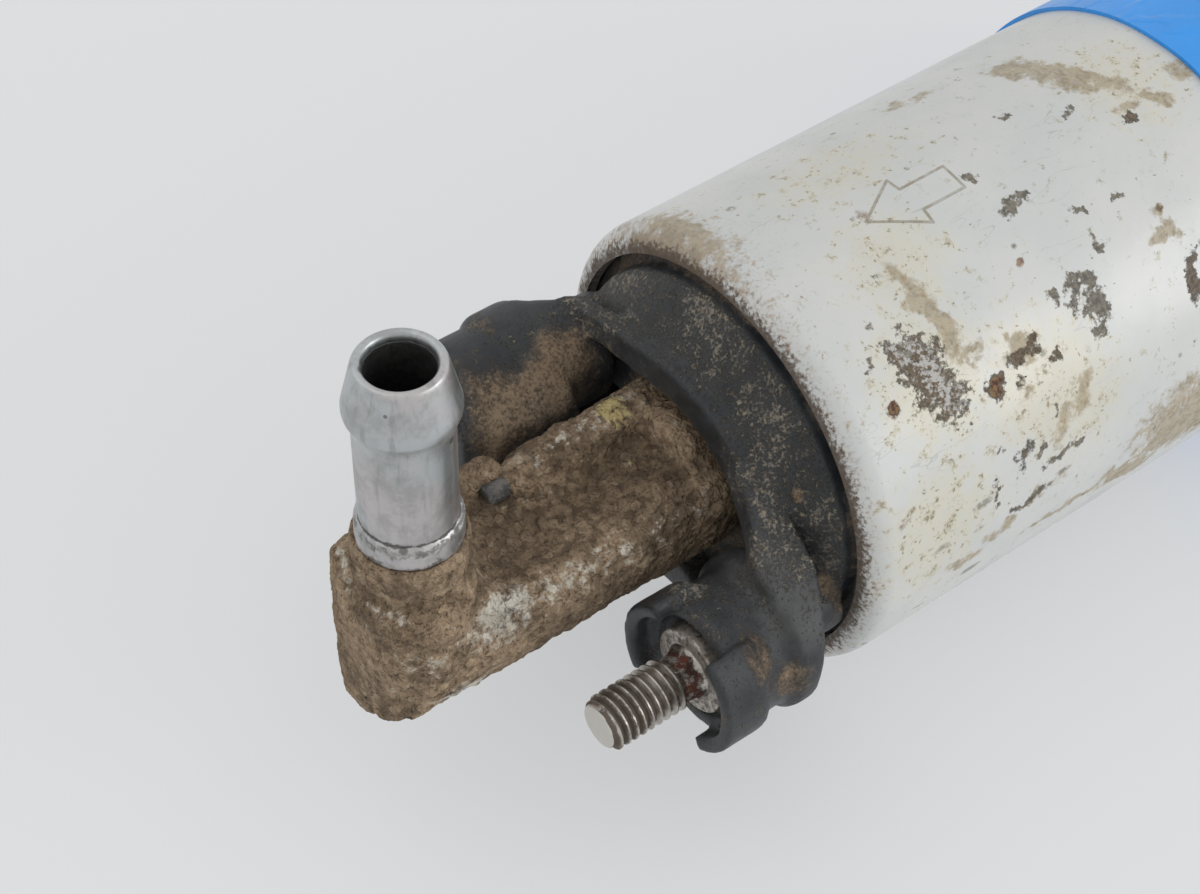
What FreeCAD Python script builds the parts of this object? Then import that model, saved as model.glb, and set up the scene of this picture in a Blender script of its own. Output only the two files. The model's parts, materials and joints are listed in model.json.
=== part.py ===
import FreeCAD, Part
import math
import os

from FreeCAD import Vector

# Inline electric fuel pump for a car, in millimetres.
# The pump axis is X and fuel leaves towards -X. The hose barb points to +Z.
# Every x below is measured from the front rim of the barrel. On export the
# parts move along X, so that the origin is the middle of the clamp sleeve.

# Barrel: a tube whose two edges are rolled in over the end pieces
barrel_r = 26.0
barrel_wall = 1.5
barrel_length = 124.0
roll_r = 2.9
seat_gap = 0.1
fit_gap = 0.15

# Blue plastic sleeve round the barrel, where the clamp grips it
sleeve_from_rim = 61.5
sleeve_width = 50.0
sleeve_thickness = 0.5

# Outlet end cap, moulded plastic
cap_neck_gap = 1.6
cap_neck_front = -0.4
cap_plug_length = 6.8
crown_floor = -2.5
crown_r = 16.0
crown_front = -6.4
crown_wall = 4.3
lobe_wall = 2.7
crown_back = -3.9
cone_front = -4.6
core_pocket_r = 2.0
core_pocket_depth = 3.4
core_pocket_yz = (13.6, -1.9)
socket_gap = 0.1

# Brush holder: a moulded disc behind the cap with the front bush in its hub
holder_thickness = 1.6
hub_wall = 1.2
flow_hole_r = 0.9
flow_hole_count = 4
brush_pad_depth = 3.2

# Terminals stand on one line through the pump axis, turned up a little
terminal_line_deg = 15.1
terminal_from_axis = 19.2
positive_ear_r = 8.65
positive_ear_front = -10.2
positive_ear_back = -6.4
positive_boss_r = 7.6
positive_boss_front = -17.2
positive_guard_r = 8.6
positive_guard_x = (-19.7, -14.0)
positive_thread_r = 3.0
positive_tip = -29.4
negative_ear_r = 7.3
negative_ear_front = -14.9
negative_ear_back = -9.7
negative_tower_r = 7.0
negative_boss_r = 6.5
negative_boss_front = -21.6
negative_guard_r = 7.2
negative_guard_x = (-24.1, -20.6)
negative_thread_r = 2.5
negative_tip = -29.6
boss_groove_length = 0.9
boss_groove_depth = 0.8
ear_slope = 0.42
ear_ramp_length = 10.5
stud_neck_r = 4.0
stud_flange_length = 1.9
stud_flange_lip = 1.9
stud_shank_share = 0.66
cup_depth = 1.1
cup_gap = 1.0
guard_wall = 1.6
guard_gaps_deg = ((63.0, 123.0), (242.0, 322.0))

# Outlet elbow, zinc die casting, with the steel hose barb pressed in
arm_r = 8.3
arm_flat_z = 3.7
arm_root_length = 4.6
barb_from_rim = 38.35
elbow_bore_r = 2.6
elbow_end_r = 5.2
elbow_end_from_barb = 6.9
elbow_half_width = 8.0
elbow_shoulder_z = 9.0
elbow_knee_r = 6.4
boss_r = 5.9
boss_top_z = 14.2
spigot_r = 7.5
spigot_length = 6.1
gallery_r = 2.0
gallery_yz = (5.5, 5.2)
gallery_length = 19.5
gallery_pin_r = 1.3
gallery_pin_stand = 4.0
gallery_pin_depth = 5.0

barb_tube_r = 4.9
barb_bore_r = 3.4
barb_socket_z = 3.2
barb_top_z = 37.0
barb_bead_r = 5.65
barb_bead_z = 32.6
barb_bead_land = 1.4
barb_bead_foot_z = 28.4
barb_collar_r = 5.4
barb_collar_length = 2.6

# Check valve in the elbow's spigot
valve_chamber_r = 3.9
valve_chamber_length = 9.8
valve_seat_r = 4.7
valve_seat_bore_r = 2.1
valve_seat_length = 2.2
poppet_disc_r = 3.0
poppet_disc_length = 1.8
poppet_wing_r = 3.75
poppet_wing_width = 1.0
poppet_stem_r = 1.6
poppet_stem_length = 3.6
valve_gap = 0.1

# Springs
spring_wire_r = 0.3
spring_wire_flats = 8
valve_spring_r = 3.35
valve_spring_turns = 4
brush_spring_r = 1.9
brush_spring_turns = 4
relief_spring_r = 1.8
relief_spring_turns = 4

# Seals
seal_r = 0.95
seal_squeeze = 0.05
spigot_seal_r = 0.78
spigot_seal_from_end = 3.7
cover_seal_from_front = 9.0

# Motor
shaft_r = 2.5
running_gap = 0.03
bush_r = 4.2
bush_length = 5.2
bush_stand_out = 1.8
washer_r = 4.6
washer_length = 0.8
end_float = 0.1
commutator_r = 8.6
commutator_length = 9.4
commutator_slots = 8
commutator_slot = 0.5
commutator_slot_depth = 1.2
riser_r = 9.8
riser_length = 1.4
brush_width = 5.4
brush_depth = 7.0
brush_length = 8.8
brush_gap = 0.12
tube_wall = 0.5
tube_overhang = 1.6
strip_width = 5.0
strip_thickness = 0.8
winding_gap = 1.6
end_turn_length = 9.5
end_turn_drop = 1.6
core_slots = 8
core_slot_share = 0.225
core_tooth_tip = 1.4
core_slot_opening = 1.6
slot_liner = 0.35
air_gap = 0.7
magnet_thickness = 6.0
magnet_span_deg = 132.0
magnet_overhang = 3.5
flux_wall = 2.2
flux_overhang = 6.0
clip_thickness = 0.7
clip_span_deg = 38.0

# Pump section: an inner rotor with six teeth turns an outer one with seven
plate_length = 8.0
rotor_length = 6.5
rotor_side_gap = 0.04
inner_teeth = 6
lobe_circle_r = 10.5
lobe_r = 3.6
eccentricity = 1.0
tooth_gap = 0.1
outer_rotor_r = 14.0
ring_gap = 0.06
shaft_flat = 1.9
port_width = 3.4
port_span_deg = 112.0
port_pocket = 0.9

# Inlet cover with a pressed steel hose spigot
cover_length = 19.4
cover_neck_gap = 0.7
cover_shoulder = 3.0
cover_face_r = 14.0
cover_stand_out = 5.2
spigot_boss_r = 8.6
spigot_boss_length = 4.0
inlet_chamber_r = 12.4
inlet_chamber_length = 7.0
inlet_tube_r = 6.0
inlet_bore_r = 4.6
inlet_tube_length = 27.0
inlet_bead_r = 6.9
inlet_bead_from_end = 4.5
inlet_bead_land = 1.6
inlet_bead_length = 4.6
strainer_length = 14.0
strainer_r = 4.4
strainer_wall = 0.45
strainer_window_rows = 3
strainer_window_count = 6

# Relief valve in the inlet cover
relief_hole_r = 1.6
relief_bore_r = 2.7
relief_ball_r = 2.5
relief_seat_depth = 2.0
relief_clip_length = 1.0

# Places along the axis that follow from the sizes above
fit_r = barrel_r - barrel_wall - fit_gap
lip_r = barrel_r - roll_r
cap_neck_r = lip_r - cap_neck_gap
cover_neck_r = lip_r - cover_neck_gap
cap_seat = barrel_wall + seat_gap
cap_back = cap_seat + cap_plug_length
holder_back = cap_back + holder_thickness
hub_end = holder_back + bush_stand_out
bush_start = hub_end - bush_length
shaft_start = bush_start + end_float
commutator_start = hub_end + end_float + washer_length
commutator_end = commutator_start + commutator_length
winding_start = commutator_end + winding_gap
core_start = winding_start + end_turn_length
cover_end = barrel_length - barrel_wall - seat_gap
cover_start = cover_end - cover_length
ring_start = cover_start - rotor_length
plate_start = ring_start - plate_length
rear_bush_start = plate_start - bush_stand_out
winding_end = rear_bush_start - washer_length - 2 * end_float
core_end = winding_end - end_turn_length
cover_front = cover_end + cover_stand_out
tube_seat = cover_front - 1.0
spigot_end = crown_floor + spigot_length
valve_seat_start = spigot_end - valve_seat_length
valve_chamber_front = spigot_end - valve_chamber_length
poppet_back = valve_seat_start - valve_gap
relief_clip_start = cover_end - inlet_chamber_length + 2.6 - relief_clip_length
outer_teeth = inner_teeth + 1

X = Vector(1, 0, 0)
Z = Vector(0, 0, 1)
ORIGIN = Vector(0, 0, 0)

terminal_dir = (
    math.cos(math.radians(terminal_line_deg)),
    math.sin(math.radians(terminal_line_deg)),
)
positive_yz = (-terminal_from_axis * terminal_dir[0], -terminal_from_axis * terminal_dir[1])
negative_yz = (terminal_from_axis * terminal_dir[0], terminal_from_axis * terminal_dir[1])


def rod(r, x0, x1, yz=(0, 0)):
    """A cylinder along X from x0 to x1."""
    low, high = min(x0, x1), max(x0, x1)
    return Part.makeCylinder(r, high - low, Vector(low, yz[0], yz[1]), X)


def ring(r_out, r_in, x0, x1, yz=(0, 0)):
    """A plain ring along X."""
    return rod(r_out, x0, x1, yz).cut(rod(r_in, x0 - 1, x1 + 1, yz))


def block(x0, x1, y0, y1, z0, z1):
    return Part.makeBox(x1 - x0, y1 - y0, z1 - z0, Vector(x0, y0, z0))


def profile_edges(path, place):
    """Edges through a path of points, where a pair of points is an arc."""
    edges = []
    here = place(path[0])
    for step in path[1:] + [path[0]]:
        if isinstance(step[0], tuple):
            middle, end = place(step[0]), place(step[1])
            edges.append(Part.Arc(here, middle, end).toShape())
        else:
            end = place(step)
            if (end - here).Length < 1e-6:
                continue
            edges.append(Part.LineSegment(here, end).toShape())
        here = end
    return edges


def turned(path, yz=(0, 0)):
    """A body of revolution about X. The path holds (x, radius) points."""
    edges = profile_edges(path, lambda p: Vector(p[0], yz[0], yz[1] + p[1]))
    face = Part.Face(Part.Wire(edges))
    return face.revolve(Vector(0, yz[0], yz[1]), X, 360)


def turned_up(path, x):
    """A body of revolution about a line along Z. The path holds (radius, z)."""
    edges = profile_edges(path, lambda p: Vector(x + p[0], 0, p[1]))
    face = Part.Face(Part.Wire(edges))
    return face.revolve(Vector(x, 0, 0), Z, 360)


def belt(circles, to_vector):
    """A face bounded by a belt round circles (u, v, r), listed anticlockwise."""
    count = len(circles)
    normals = []
    for i in range(count):
        u0, v0, r0 = circles[i]
        u1, v1, r1 = circles[(i + 1) % count]
        d = math.hypot(u1 - u0, v1 - v0)
        du, dv = (u1 - u0) / d, (v1 - v0) / d
        c = (r0 - r1) / d
        s = math.sqrt(1 - c * c)
        normals.append(math.atan2(c * dv - s * du, c * du + s * dv))
    edges = []
    for i in range(count):
        u, v, r = circles[i]
        start = normals[i - 1]
        end = normals[i]
        while end < start:
            end += 2 * math.pi

        def at(a):
            return to_vector(u + r * math.cos(a), v + r * math.sin(a))

        if end - start > 1e-6:
            edges.append(Part.Arc(at(start), at((start + end) / 2), at(end)).toShape())
        un, vn, rn = circles[(i + 1) % count]
        following = to_vector(un + rn * math.cos(end), vn + rn * math.sin(end))
        edges.append(Part.LineSegment(at(end), following).toShape())
    return Part.Face(Part.Wire(edges))


def crown_belt(x, centre_r, positive_r, negative_r):
    """The two-eared outline of the cap, as a face at x."""
    ty, tz = terminal_dir

    def to_vector(u, v):
        return Vector(x, u * ty - v * tz, u * tz + v * ty)

    far, near = terminal_from_axis, -terminal_from_axis
    circles = [(far, 0, negative_r), (0, 0, centre_r), (near, 0, positive_r), (0, 0, centre_r)]
    return belt(circles, to_vector)


def turned_about_axis(shape, degrees):
    copy = shape.copy()
    copy.rotate(ORIGIN, X, degrees)
    return copy


def around(shape, count, start=0.0):
    """Copies of a shape spaced evenly about the pump axis."""
    return [turned_about_axis(shape, start + 360.0 * i / count) for i in range(count)]


def torus(big_r, small_r, x, yz=(0, 0)):
    return Part.makeTorus(big_r, small_r, Vector(x, yz[0], yz[1]), X)


def coil(x0, x1, mean_r, turns, yz=(0, 0)):
    """An open-ended helical spring along X between two seats."""
    height = x1 - x0 - 2 * spring_wire_r
    helix = Part.makeHelix(height / turns, height, mean_r)
    start = helix.Edges[0].Vertexes[0].Point
    corners = []
    for i in range(spring_wire_flats):
        a = 2 * math.pi * i / spring_wire_flats
        corners.append(start + Vector(spring_wire_r * math.cos(a), 0, spring_wire_r * math.sin(a)))
    section = Part.makePolygon(corners + corners[:1])
    spring = Part.Wire(helix.Edges).makePipeShell([section], True, True)
    spring.rotate(ORIGIN, Vector(0, 1, 0), 90)
    spring.translate(Vector(x0 + spring_wire_r, yz[0], yz[1]))
    return spring


def sector(r_out, r_in, x0, x1, start_deg, span_deg, yz=(0, 0)):
    """Part of a ring, with angles from +Y towards +Z."""
    edges_path = []
    a0 = math.radians(start_deg)
    a1 = math.radians(start_deg + span_deg)
    am = (a0 + a1) / 2

    def at(r, a):
        return Vector(x0, yz[0] + r * math.cos(a), yz[1] + r * math.sin(a))

    edges_path.append(Part.Arc(at(r_out, a0), at(r_out, am), at(r_out, a1)).toShape())
    edges_path.append(Part.LineSegment(at(r_out, a1), at(r_in, a1)).toShape())
    edges_path.append(Part.Arc(at(r_in, a1), at(r_in, am), at(r_in, a0)).toShape())
    edges_path.append(Part.LineSegment(at(r_in, a0), at(r_out, a0)).toShape())
    return Part.Face(Part.Wire(edges_path)).extrude(Vector(x1 - x0, 0, 0))


def make_barrel():
    inner_r = barrel_r - barrel_wall
    roll_in = roll_r - barrel_wall

    def corner(r):
        k = r * math.sqrt(0.5)
        return (roll_r - k, lip_r + k)

    def mirrored(p):
        return (barrel_length - p[0], p[1])

    outer, inner = corner(roll_r), corner(roll_in)
    path = [
        (0, lip_r),
        (outer, (roll_r, barrel_r)),
        (barrel_length - roll_r, barrel_r),
        (mirrored(outer), (barrel_length, lip_r)),
        (barrel_length - barrel_wall, lip_r),
        (mirrored(inner), (barrel_length - roll_r, inner_r)),
        (roll_r, inner_r),
        (inner, (barrel_wall, lip_r)),
    ]
    return turned(path)


def make_sleeve():
    end = sleeve_from_rim + sleeve_width
    return ring(barrel_r + sleeve_thickness, barrel_r, sleeve_from_rim, end)


def crown_cut(profile, far_x):
    """Everything between a profile of (u, x) points and far_x, u along the terminal line."""
    ty, tz = terminal_dir
    reach = 2 * barrel_r

    def place(point):
        u, x = point
        return Vector(x, u * ty + reach * tz, u * tz - reach * ty)

    closed = profile + [(profile[-1][0], far_x), (profile[0][0], far_x)]
    depth = 2 * reach
    face = Part.Face(Part.Wire(profile_edges(closed, place)))
    return face.extrude(Vector(0, -depth * tz, depth * ty))


def crown_front_cut():
    """What is taken off in front of the crown, so that it ramps up to the positive ear."""
    reach = 2 * barrel_r
    near_top = -terminal_from_axis + positive_ear_r * 0.3
    near_foot = near_top + ear_ramp_length
    near_middle = ((near_top + near_foot) / 2, (positive_ear_front + crown_front) / 2 + 0.6)
    profile = [
        (-reach, positive_ear_front),
        (near_top, positive_ear_front),
        (near_middle, (near_foot, crown_front)),
        (reach, crown_front),
    ]
    return crown_cut(profile, negative_tip - reach)


def crown_back_cut():
    """What is taken off behind the ears, where they overhang the cone."""
    reach = 2 * barrel_r
    outside = terminal_from_axis + 0.4
    near_out = -terminal_from_axis - positive_ear_r
    far_out = terminal_from_axis + negative_ear_r
    near_x = positive_ear_back - ear_slope * positive_ear_r * 0.3
    far_x = negative_ear_back - ear_slope * negative_ear_r * 0.3
    far_corner = terminal_from_axis + negative_ear_r * 0.62
    profile = [
        (-reach, near_x),
        (near_out, near_x),
        (-outside, crown_back),
        (outside, crown_back),
        (far_corner, negative_ear_back),
        (far_out, far_x),
        (reach, far_x),
    ]
    return crown_cut(profile, cap_seat)


def terminal_cup(yz, boss_front, flange_r):
    """The shallow cup in a boss for the stud's flange."""
    return rod(flange_r + cup_gap, boss_front - 1, boss_front + cup_depth, yz)


def terminal_guard(yz, r_out, guard_x):
    """Two wall segments round a stud that stop a cable lug from turning."""
    guard = None
    for i in range(len(guard_gaps_deg)):
        start = guard_gaps_deg[i][1]
        end = guard_gaps_deg[(i + 1) % len(guard_gaps_deg)][0]
        span = (end - start) % 360
        piece = sector(r_out, r_out - guard_wall, guard_x[0], guard_x[1], start, span, yz)
        guard = piece if guard is None else guard.fuse(piece)
    return guard


def crown_room():
    """The room inside the crown, down to its floor."""
    room = crown_belt(
        crown_floor, crown_r - crown_wall, positive_ear_r - lobe_wall, negative_ear_r - lobe_wall
    )
    return room.extrude(Vector(negative_tip, 0, 0))


def crown():
    """The two-eared wall on the cap with a boss for each terminal."""
    outer = crown_belt(crown_back, crown_r, positive_ear_r, negative_ear_r)
    wall = outer.extrude(Vector(positive_ear_front - crown_back, 0, 0)).cut(crown_front_cut())
    wall = wall.cut(crown_room())
    wall = wall.fuse(
        [
            rod(positive_ear_r, positive_ear_front, positive_ear_back, positive_yz),
            rod(positive_boss_r, positive_boss_front, crown_floor, positive_yz),
            rod(negative_ear_r, negative_ear_front, negative_ear_back, negative_yz),
            rod(negative_boss_r, negative_boss_front, negative_ear_front, negative_yz),
            rod(negative_tower_r, negative_ear_back, crown_floor, negative_yz),
        ]
    )
    wall = wall.cut(crown_back_cut())
    groove_x = negative_guard_x[1]
    groove_r = negative_boss_r - boss_groove_depth
    groove = ring(negative_boss_r + 1, groove_r, groove_x, groove_x + boss_groove_length, negative_yz)
    wall = wall.cut(groove)
    wall = wall.cut(terminal_cup(positive_yz, positive_boss_front, positive_thread_r + stud_flange_lip))
    wall = wall.cut(terminal_cup(negative_yz, negative_boss_front, negative_thread_r + stud_flange_lip))
    return wall.fuse(
        [
            terminal_guard(positive_yz, positive_guard_r, positive_guard_x),
            terminal_guard(negative_yz, negative_guard_r, negative_guard_x),
            rod(stud_neck_r, positive_ear_back, cap_neck_front, positive_yz),
            rod(stud_neck_r, negative_ear_back, cap_neck_front, negative_yz),
        ]
    )


def cap_plug():
    """The round plug behind the barrel's lip, stepped at its back for the seal."""
    seal_step_r = fit_r - 2 * seal_r + fit_gap
    path = [
        (crown_floor, 0),
        (cone_front, 0),
        (cone_front, crown_r),
        (cap_neck_front, cap_neck_r),
        (cap_seat, cap_neck_r),
        (cap_seat, lip_r - fit_gap),
        (roll_r + seat_gap, fit_r),
        (cap_back - 2 * seal_r, fit_r),
        (cap_back - 2 * seal_r, seal_step_r),
        (cap_back, seal_step_r),
        (cap_back, 0),
    ]
    return turned(path)


def without_stud_holes(body):
    """Takes the holes for both studs' shanks out of a body."""
    for yz, thread_r in ((positive_yz, positive_thread_r), (negative_yz, negative_thread_r)):
        body = body.cut(rod(thread_r * stud_shank_share, negative_tip, holder_back + 1, yz))
    return body


def make_cap():
    body = cap_plug().cut(crown_room()).fuse(crown())
    body = body.cut(rod(core_pocket_r, crown_floor, crown_floor + core_pocket_depth, core_pocket_yz))
    body = body.cut(rod(spigot_r + socket_gap, crown_floor - 1, cap_back + 1))
    return without_stud_holes(body).removeSplitter()


def make_brush_holder():
    body = rod(fit_r, cap_back, holder_back).fuse(rod(bush_r + hub_wall, bush_start, hub_end))
    body = body.cut(rod(bush_r, bush_start - 1, hub_end + 1))
    from_axis = (bush_r + hub_wall + spigot_r) / 2
    hole = rod(flow_hole_r, cap_back - 1, holder_back + 1, (from_axis, 0))
    body = without_stud_holes(body.cut(around(hole, flow_hole_count, 45 + terminal_line_deg)))
    for side in (0, 180):
        body = body.fuse(brush_rest(side))
    return body.removeSplitter()


def brush_rest(side_deg):
    """The pad on the brush holder that carries the inner end of a brush tube."""
    start = commutator_r + tube_overhang + 0.3
    half = strip_width / 2
    front, back = cap_back, brush_front() - tube_wall
    pad = block(front, back, start, start + brush_pad_depth, -half, half)
    return turned_about_axis(pad, terminal_line_deg + side_deg)


def brush_front():
    """Where the front side of the brushes lies along the axis."""
    return commutator_start + (commutator_length - riser_length - brush_depth) / 2


def make_stud(yz, thread_r, tip, boss_front):
    """A threaded terminal stud with a flange, and a shank through the cap."""
    flange_r = thread_r + stud_flange_lip
    cup_floor = boss_front + cup_depth
    shank_r = thread_r * stud_shank_share
    end = holder_back + 2 * strip_thickness
    chamfer = thread_r * 0.22
    path = [
        (tip, 0),
        (tip, thread_r - chamfer),
        (tip + chamfer, thread_r),
        (cup_floor - stud_flange_length, thread_r),
        (cup_floor - stud_flange_length, flange_r - 0.3),
        (cup_floor - stud_flange_length + 0.3, flange_r),
        (cup_floor, flange_r),
        (cup_floor, shank_r),
        (end, shank_r),
        (end, 0),
    ]
    return turned(path, yz)


def make_strip(side_deg, thread_r):
    """The brass strip from a stud's inner end to its brush tube."""
    half = strip_width / 2
    back = brush_front() - tube_wall
    r0 = terminal_from_axis - half - 1.0
    r1 = fit_r - 0.6
    base = block(holder_back, holder_back + strip_thickness, r0, r1, -half, half)
    web = block(holder_back, back, r1 - strip_thickness, r1, -half, half)
    lid = block(back - strip_thickness, back, r0, r1, -half, half)
    strip = base.fuse([web, lid]).removeSplitter()
    strip = turned_about_axis(strip, terminal_line_deg + side_deg)
    yz = negative_yz if side_deg == 0 else positive_yz
    hole_r = thread_r * stud_shank_share
    return strip.cut(rod(hole_r, holder_back - 1, holder_back + 2 * strip_thickness, yz))


def brush_inner_r():
    return commutator_r + brush_gap


def make_brush(side_deg):
    half = brush_width / 2
    x0 = brush_front()
    r1 = brush_inner_r() + brush_length
    brush = block(x0, x0 + brush_depth, 0, r1, -half, half)
    brush = brush.cut(rod(brush_inner_r(), x0 - 1, x0 + brush_depth + 1))
    return turned_about_axis(brush, terminal_line_deg + side_deg)


def make_brush_tube(side_deg):
    """A folded brass tube, closed at its outer end, that guides one brush."""
    half = brush_width / 2 + brush_gap
    x0 = brush_front() - brush_gap
    x1 = brush_front() + brush_depth + brush_gap
    r0 = commutator_r + tube_overhang
    r1 = fit_r - 0.6
    outer = block(x0 - tube_wall + brush_gap, x1 + tube_wall, r0, r1, -half - tube_wall, half + tube_wall)
    inner = block(x0, x1, r0 - 1, r1 - tube_wall, -half, half)
    return turned_about_axis(outer.cut(inner), terminal_line_deg + side_deg)


def make_brush_spring(side_deg):
    start = brush_inner_r() + brush_length
    end = fit_r - 0.6 - tube_wall
    spring = coil(start, end, brush_spring_r, brush_spring_turns)
    spring.rotate(ORIGIN, Z, 90)
    spring.translate(Vector(brush_front() + brush_depth / 2, 0, 0))
    return turned_about_axis(spring, terminal_line_deg + side_deg)


def make_commutator():
    body = rod(commutator_r, commutator_start, commutator_end)
    body = body.fuse(rod(riser_r, commutator_end - riser_length, commutator_end))
    body = body.cut(rod(shaft_r, commutator_start - 1, commutator_end + 1))
    half = commutator_slot / 2
    slot_floor = commutator_r - commutator_slot_depth
    slot = block(commutator_start - 1, commutator_end + 1, slot_floor, riser_r + 1, -half, half)
    return body.cut(around(slot, commutator_slots, 360.0 / commutator_slots / 2))


def core_r():
    return fit_r - flux_wall - magnet_thickness - air_gap


def core_slot_r():
    return core_r() * core_slot_share


def slot_circle_r():
    return core_r() - core_slot_r() - core_tooth_tip


def make_core():
    """The laminated armature core with its winding slots."""
    body = rod(core_r(), core_start, core_end).cut(rod(shaft_r, core_start - 1, core_end + 1))
    round_part = rod(core_slot_r(), core_start - 1, core_end + 1, (slot_circle_r(), 0))
    half = core_slot_opening / 2
    mouth = block(core_start - 1, core_end + 1, slot_circle_r(), core_r() + 1, -half, half)
    return body.cut(around(round_part.fuse(mouth), core_slots))


def end_turns(x_core, x_end):
    """The rounded bundle of wire beyond one face of the core."""
    way = 1 if x_end > x_core else -1
    inner_r = shaft_r + 1.6
    outer_r = core_r() - end_turn_drop
    soft = 3.0
    x_mid = x_end - way * soft
    k = soft * (1 - math.sqrt(0.5))
    path = [
        (x_core, inner_r),
        (x_end, inner_r + 0.8),
        (x_end, outer_r - soft),
        ((x_end - way * k, outer_r - k), (x_mid, outer_r)),
        (x_core, outer_r),
    ]
    return turned(path)


def make_winding():
    body = end_turns(core_start, winding_start).fuse(end_turns(core_end, winding_end))
    bar = rod(core_slot_r() - slot_liner, core_start - 1, core_end + 1, (slot_circle_r(), 0))
    return body.fuse(around(bar, core_slots)).removeSplitter()


def make_shaft():
    body = rod(shaft_r, shaft_start, cover_start + rotor_length / 3)
    flat = block(ring_start - 1, cover_start + rotor_length, -shaft_r, shaft_r, shaft_flat, shaft_r + 1)
    return body.cut(flat)


def make_flux_ring():
    return ring(fit_r, fit_r - flux_wall, core_start - flux_overhang, core_end + flux_overhang)


def make_magnet(middle_deg):
    r_out = fit_r - flux_wall
    x0, x1 = core_start - magnet_overhang, core_end + magnet_overhang
    start = middle_deg - magnet_span_deg / 2
    return sector(r_out, r_out - magnet_thickness, x0, x1, start, magnet_span_deg)


def make_clips():
    """Two spring clips that press the magnets apart against the flux ring."""
    r_out = fit_r - flux_wall
    x0, x1 = core_start, core_end
    clips = []
    for middle in (terminal_line_deg, terminal_line_deg + 180):
        start = middle - clip_span_deg / 2
        clips.append(sector(r_out, r_out - clip_thickness, x0, x1, start, clip_span_deg))
    return Part.Compound(clips)


def ring_offset():
    """Centre of the outer rotor, across from the lobe that is in full mesh."""
    return (-eccentricity, 0)


def rotor_outline(x, gap):
    """The inner rotor's tooth form, offset inwards by a gap."""
    points = []
    steps = inner_teeth * 16
    k = lobe_circle_r / (eccentricity * outer_teeth)
    r = lobe_r + gap
    for i in range(steps):
        t = 2 * math.pi * i / steps
        bend = math.atan2(math.sin((1 - outer_teeth) * t), k - math.cos((1 - outer_teeth) * t))
        u = lobe_circle_r * math.cos(t) - r * math.cos(t + bend) - eccentricity * math.cos(outer_teeth * t)
        v = -lobe_circle_r * math.sin(t) + r * math.sin(t + bend) + eccentricity * math.sin(outer_teeth * t)
        points.append(Vector(x, u, v))
    curve = Part.BSplineCurve()
    curve.interpolate(Points=points, PeriodicFlag=True)
    return Part.Face(Part.Wire(curve.toShape()))


def make_inner_rotor():
    x0 = ring_start + rotor_side_gap
    x1 = cover_start - rotor_side_gap
    body = rotor_outline(x0, tooth_gap).extrude(Vector(x1 - x0, 0, 0))
    bore = rod(shaft_r, x0 - 1, x1 + 1)
    bore = bore.cut(block(x0 - 2, x1 + 2, -shaft_r, shaft_r, shaft_flat, shaft_r + 1))
    return body.cut(bore)


def make_outer_rotor():
    x0 = ring_start + rotor_side_gap
    x1 = cover_start - rotor_side_gap
    centre = ring_offset()
    root_r = lobe_circle_r - lobe_r + 2 * eccentricity + tooth_gap
    room = rod(root_r, x0 - 1, x1 + 1, centre)
    for i in range(outer_teeth):
        a = 2 * math.pi * i / outer_teeth
        at = (centre[0] + lobe_circle_r * math.cos(a), centre[1] + lobe_circle_r * math.sin(a))
        room = room.cut(rod(lobe_r, x0 - 2, x1 + 2, at))
    return rod(outer_rotor_r, x0, x1, centre).cut(room)


def make_rotor_housing():
    body = rod(fit_r, ring_start, cover_start)
    return body.cut(rod(outer_rotor_r + ring_gap, ring_start - 1, cover_start + 1, ring_offset()))


def port_middle_r():
    """Middle of the ports, between the roots of the inner and the outer rotor."""
    return lobe_circle_r - lobe_r + eccentricity / 2 + 0.4


def port(x0, x1, middle_deg):
    """A kidney-shaped port beside the rotors."""
    r = port_middle_r()
    half = port_width / 2
    start = middle_deg - port_span_deg / 2
    body = sector(r + half, r - half, x0, x1, start, port_span_deg, ring_offset())
    for end in (start, start + port_span_deg):
        a = math.radians(end)
        yz = (ring_offset()[0] + r * math.cos(a), ring_offset()[1] + r * math.sin(a))
        body = body.fuse(rod(half, x0, x1, yz))
    return body


def make_bearing_plate():
    """The plate between motor and rotors, with the rear bush and delivery port."""
    body = rod(fit_r, plate_start, ring_start)
    body = body.fuse(rod(bush_r + hub_wall, rear_bush_start, plate_start))
    body = body.cut(rod(bush_r, rear_bush_start - 1, rear_bush_start + bush_length))
    body = body.cut(rod(shaft_r + 0.2, rear_bush_start, ring_start + 1))
    body = body.cut(port(plate_start - 3, ring_start + 1, 90))
    return body.cut(port(ring_start - port_pocket, ring_start + 1, 270))


def relief_yz():
    return (ring_offset()[0], port_middle_r())


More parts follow.
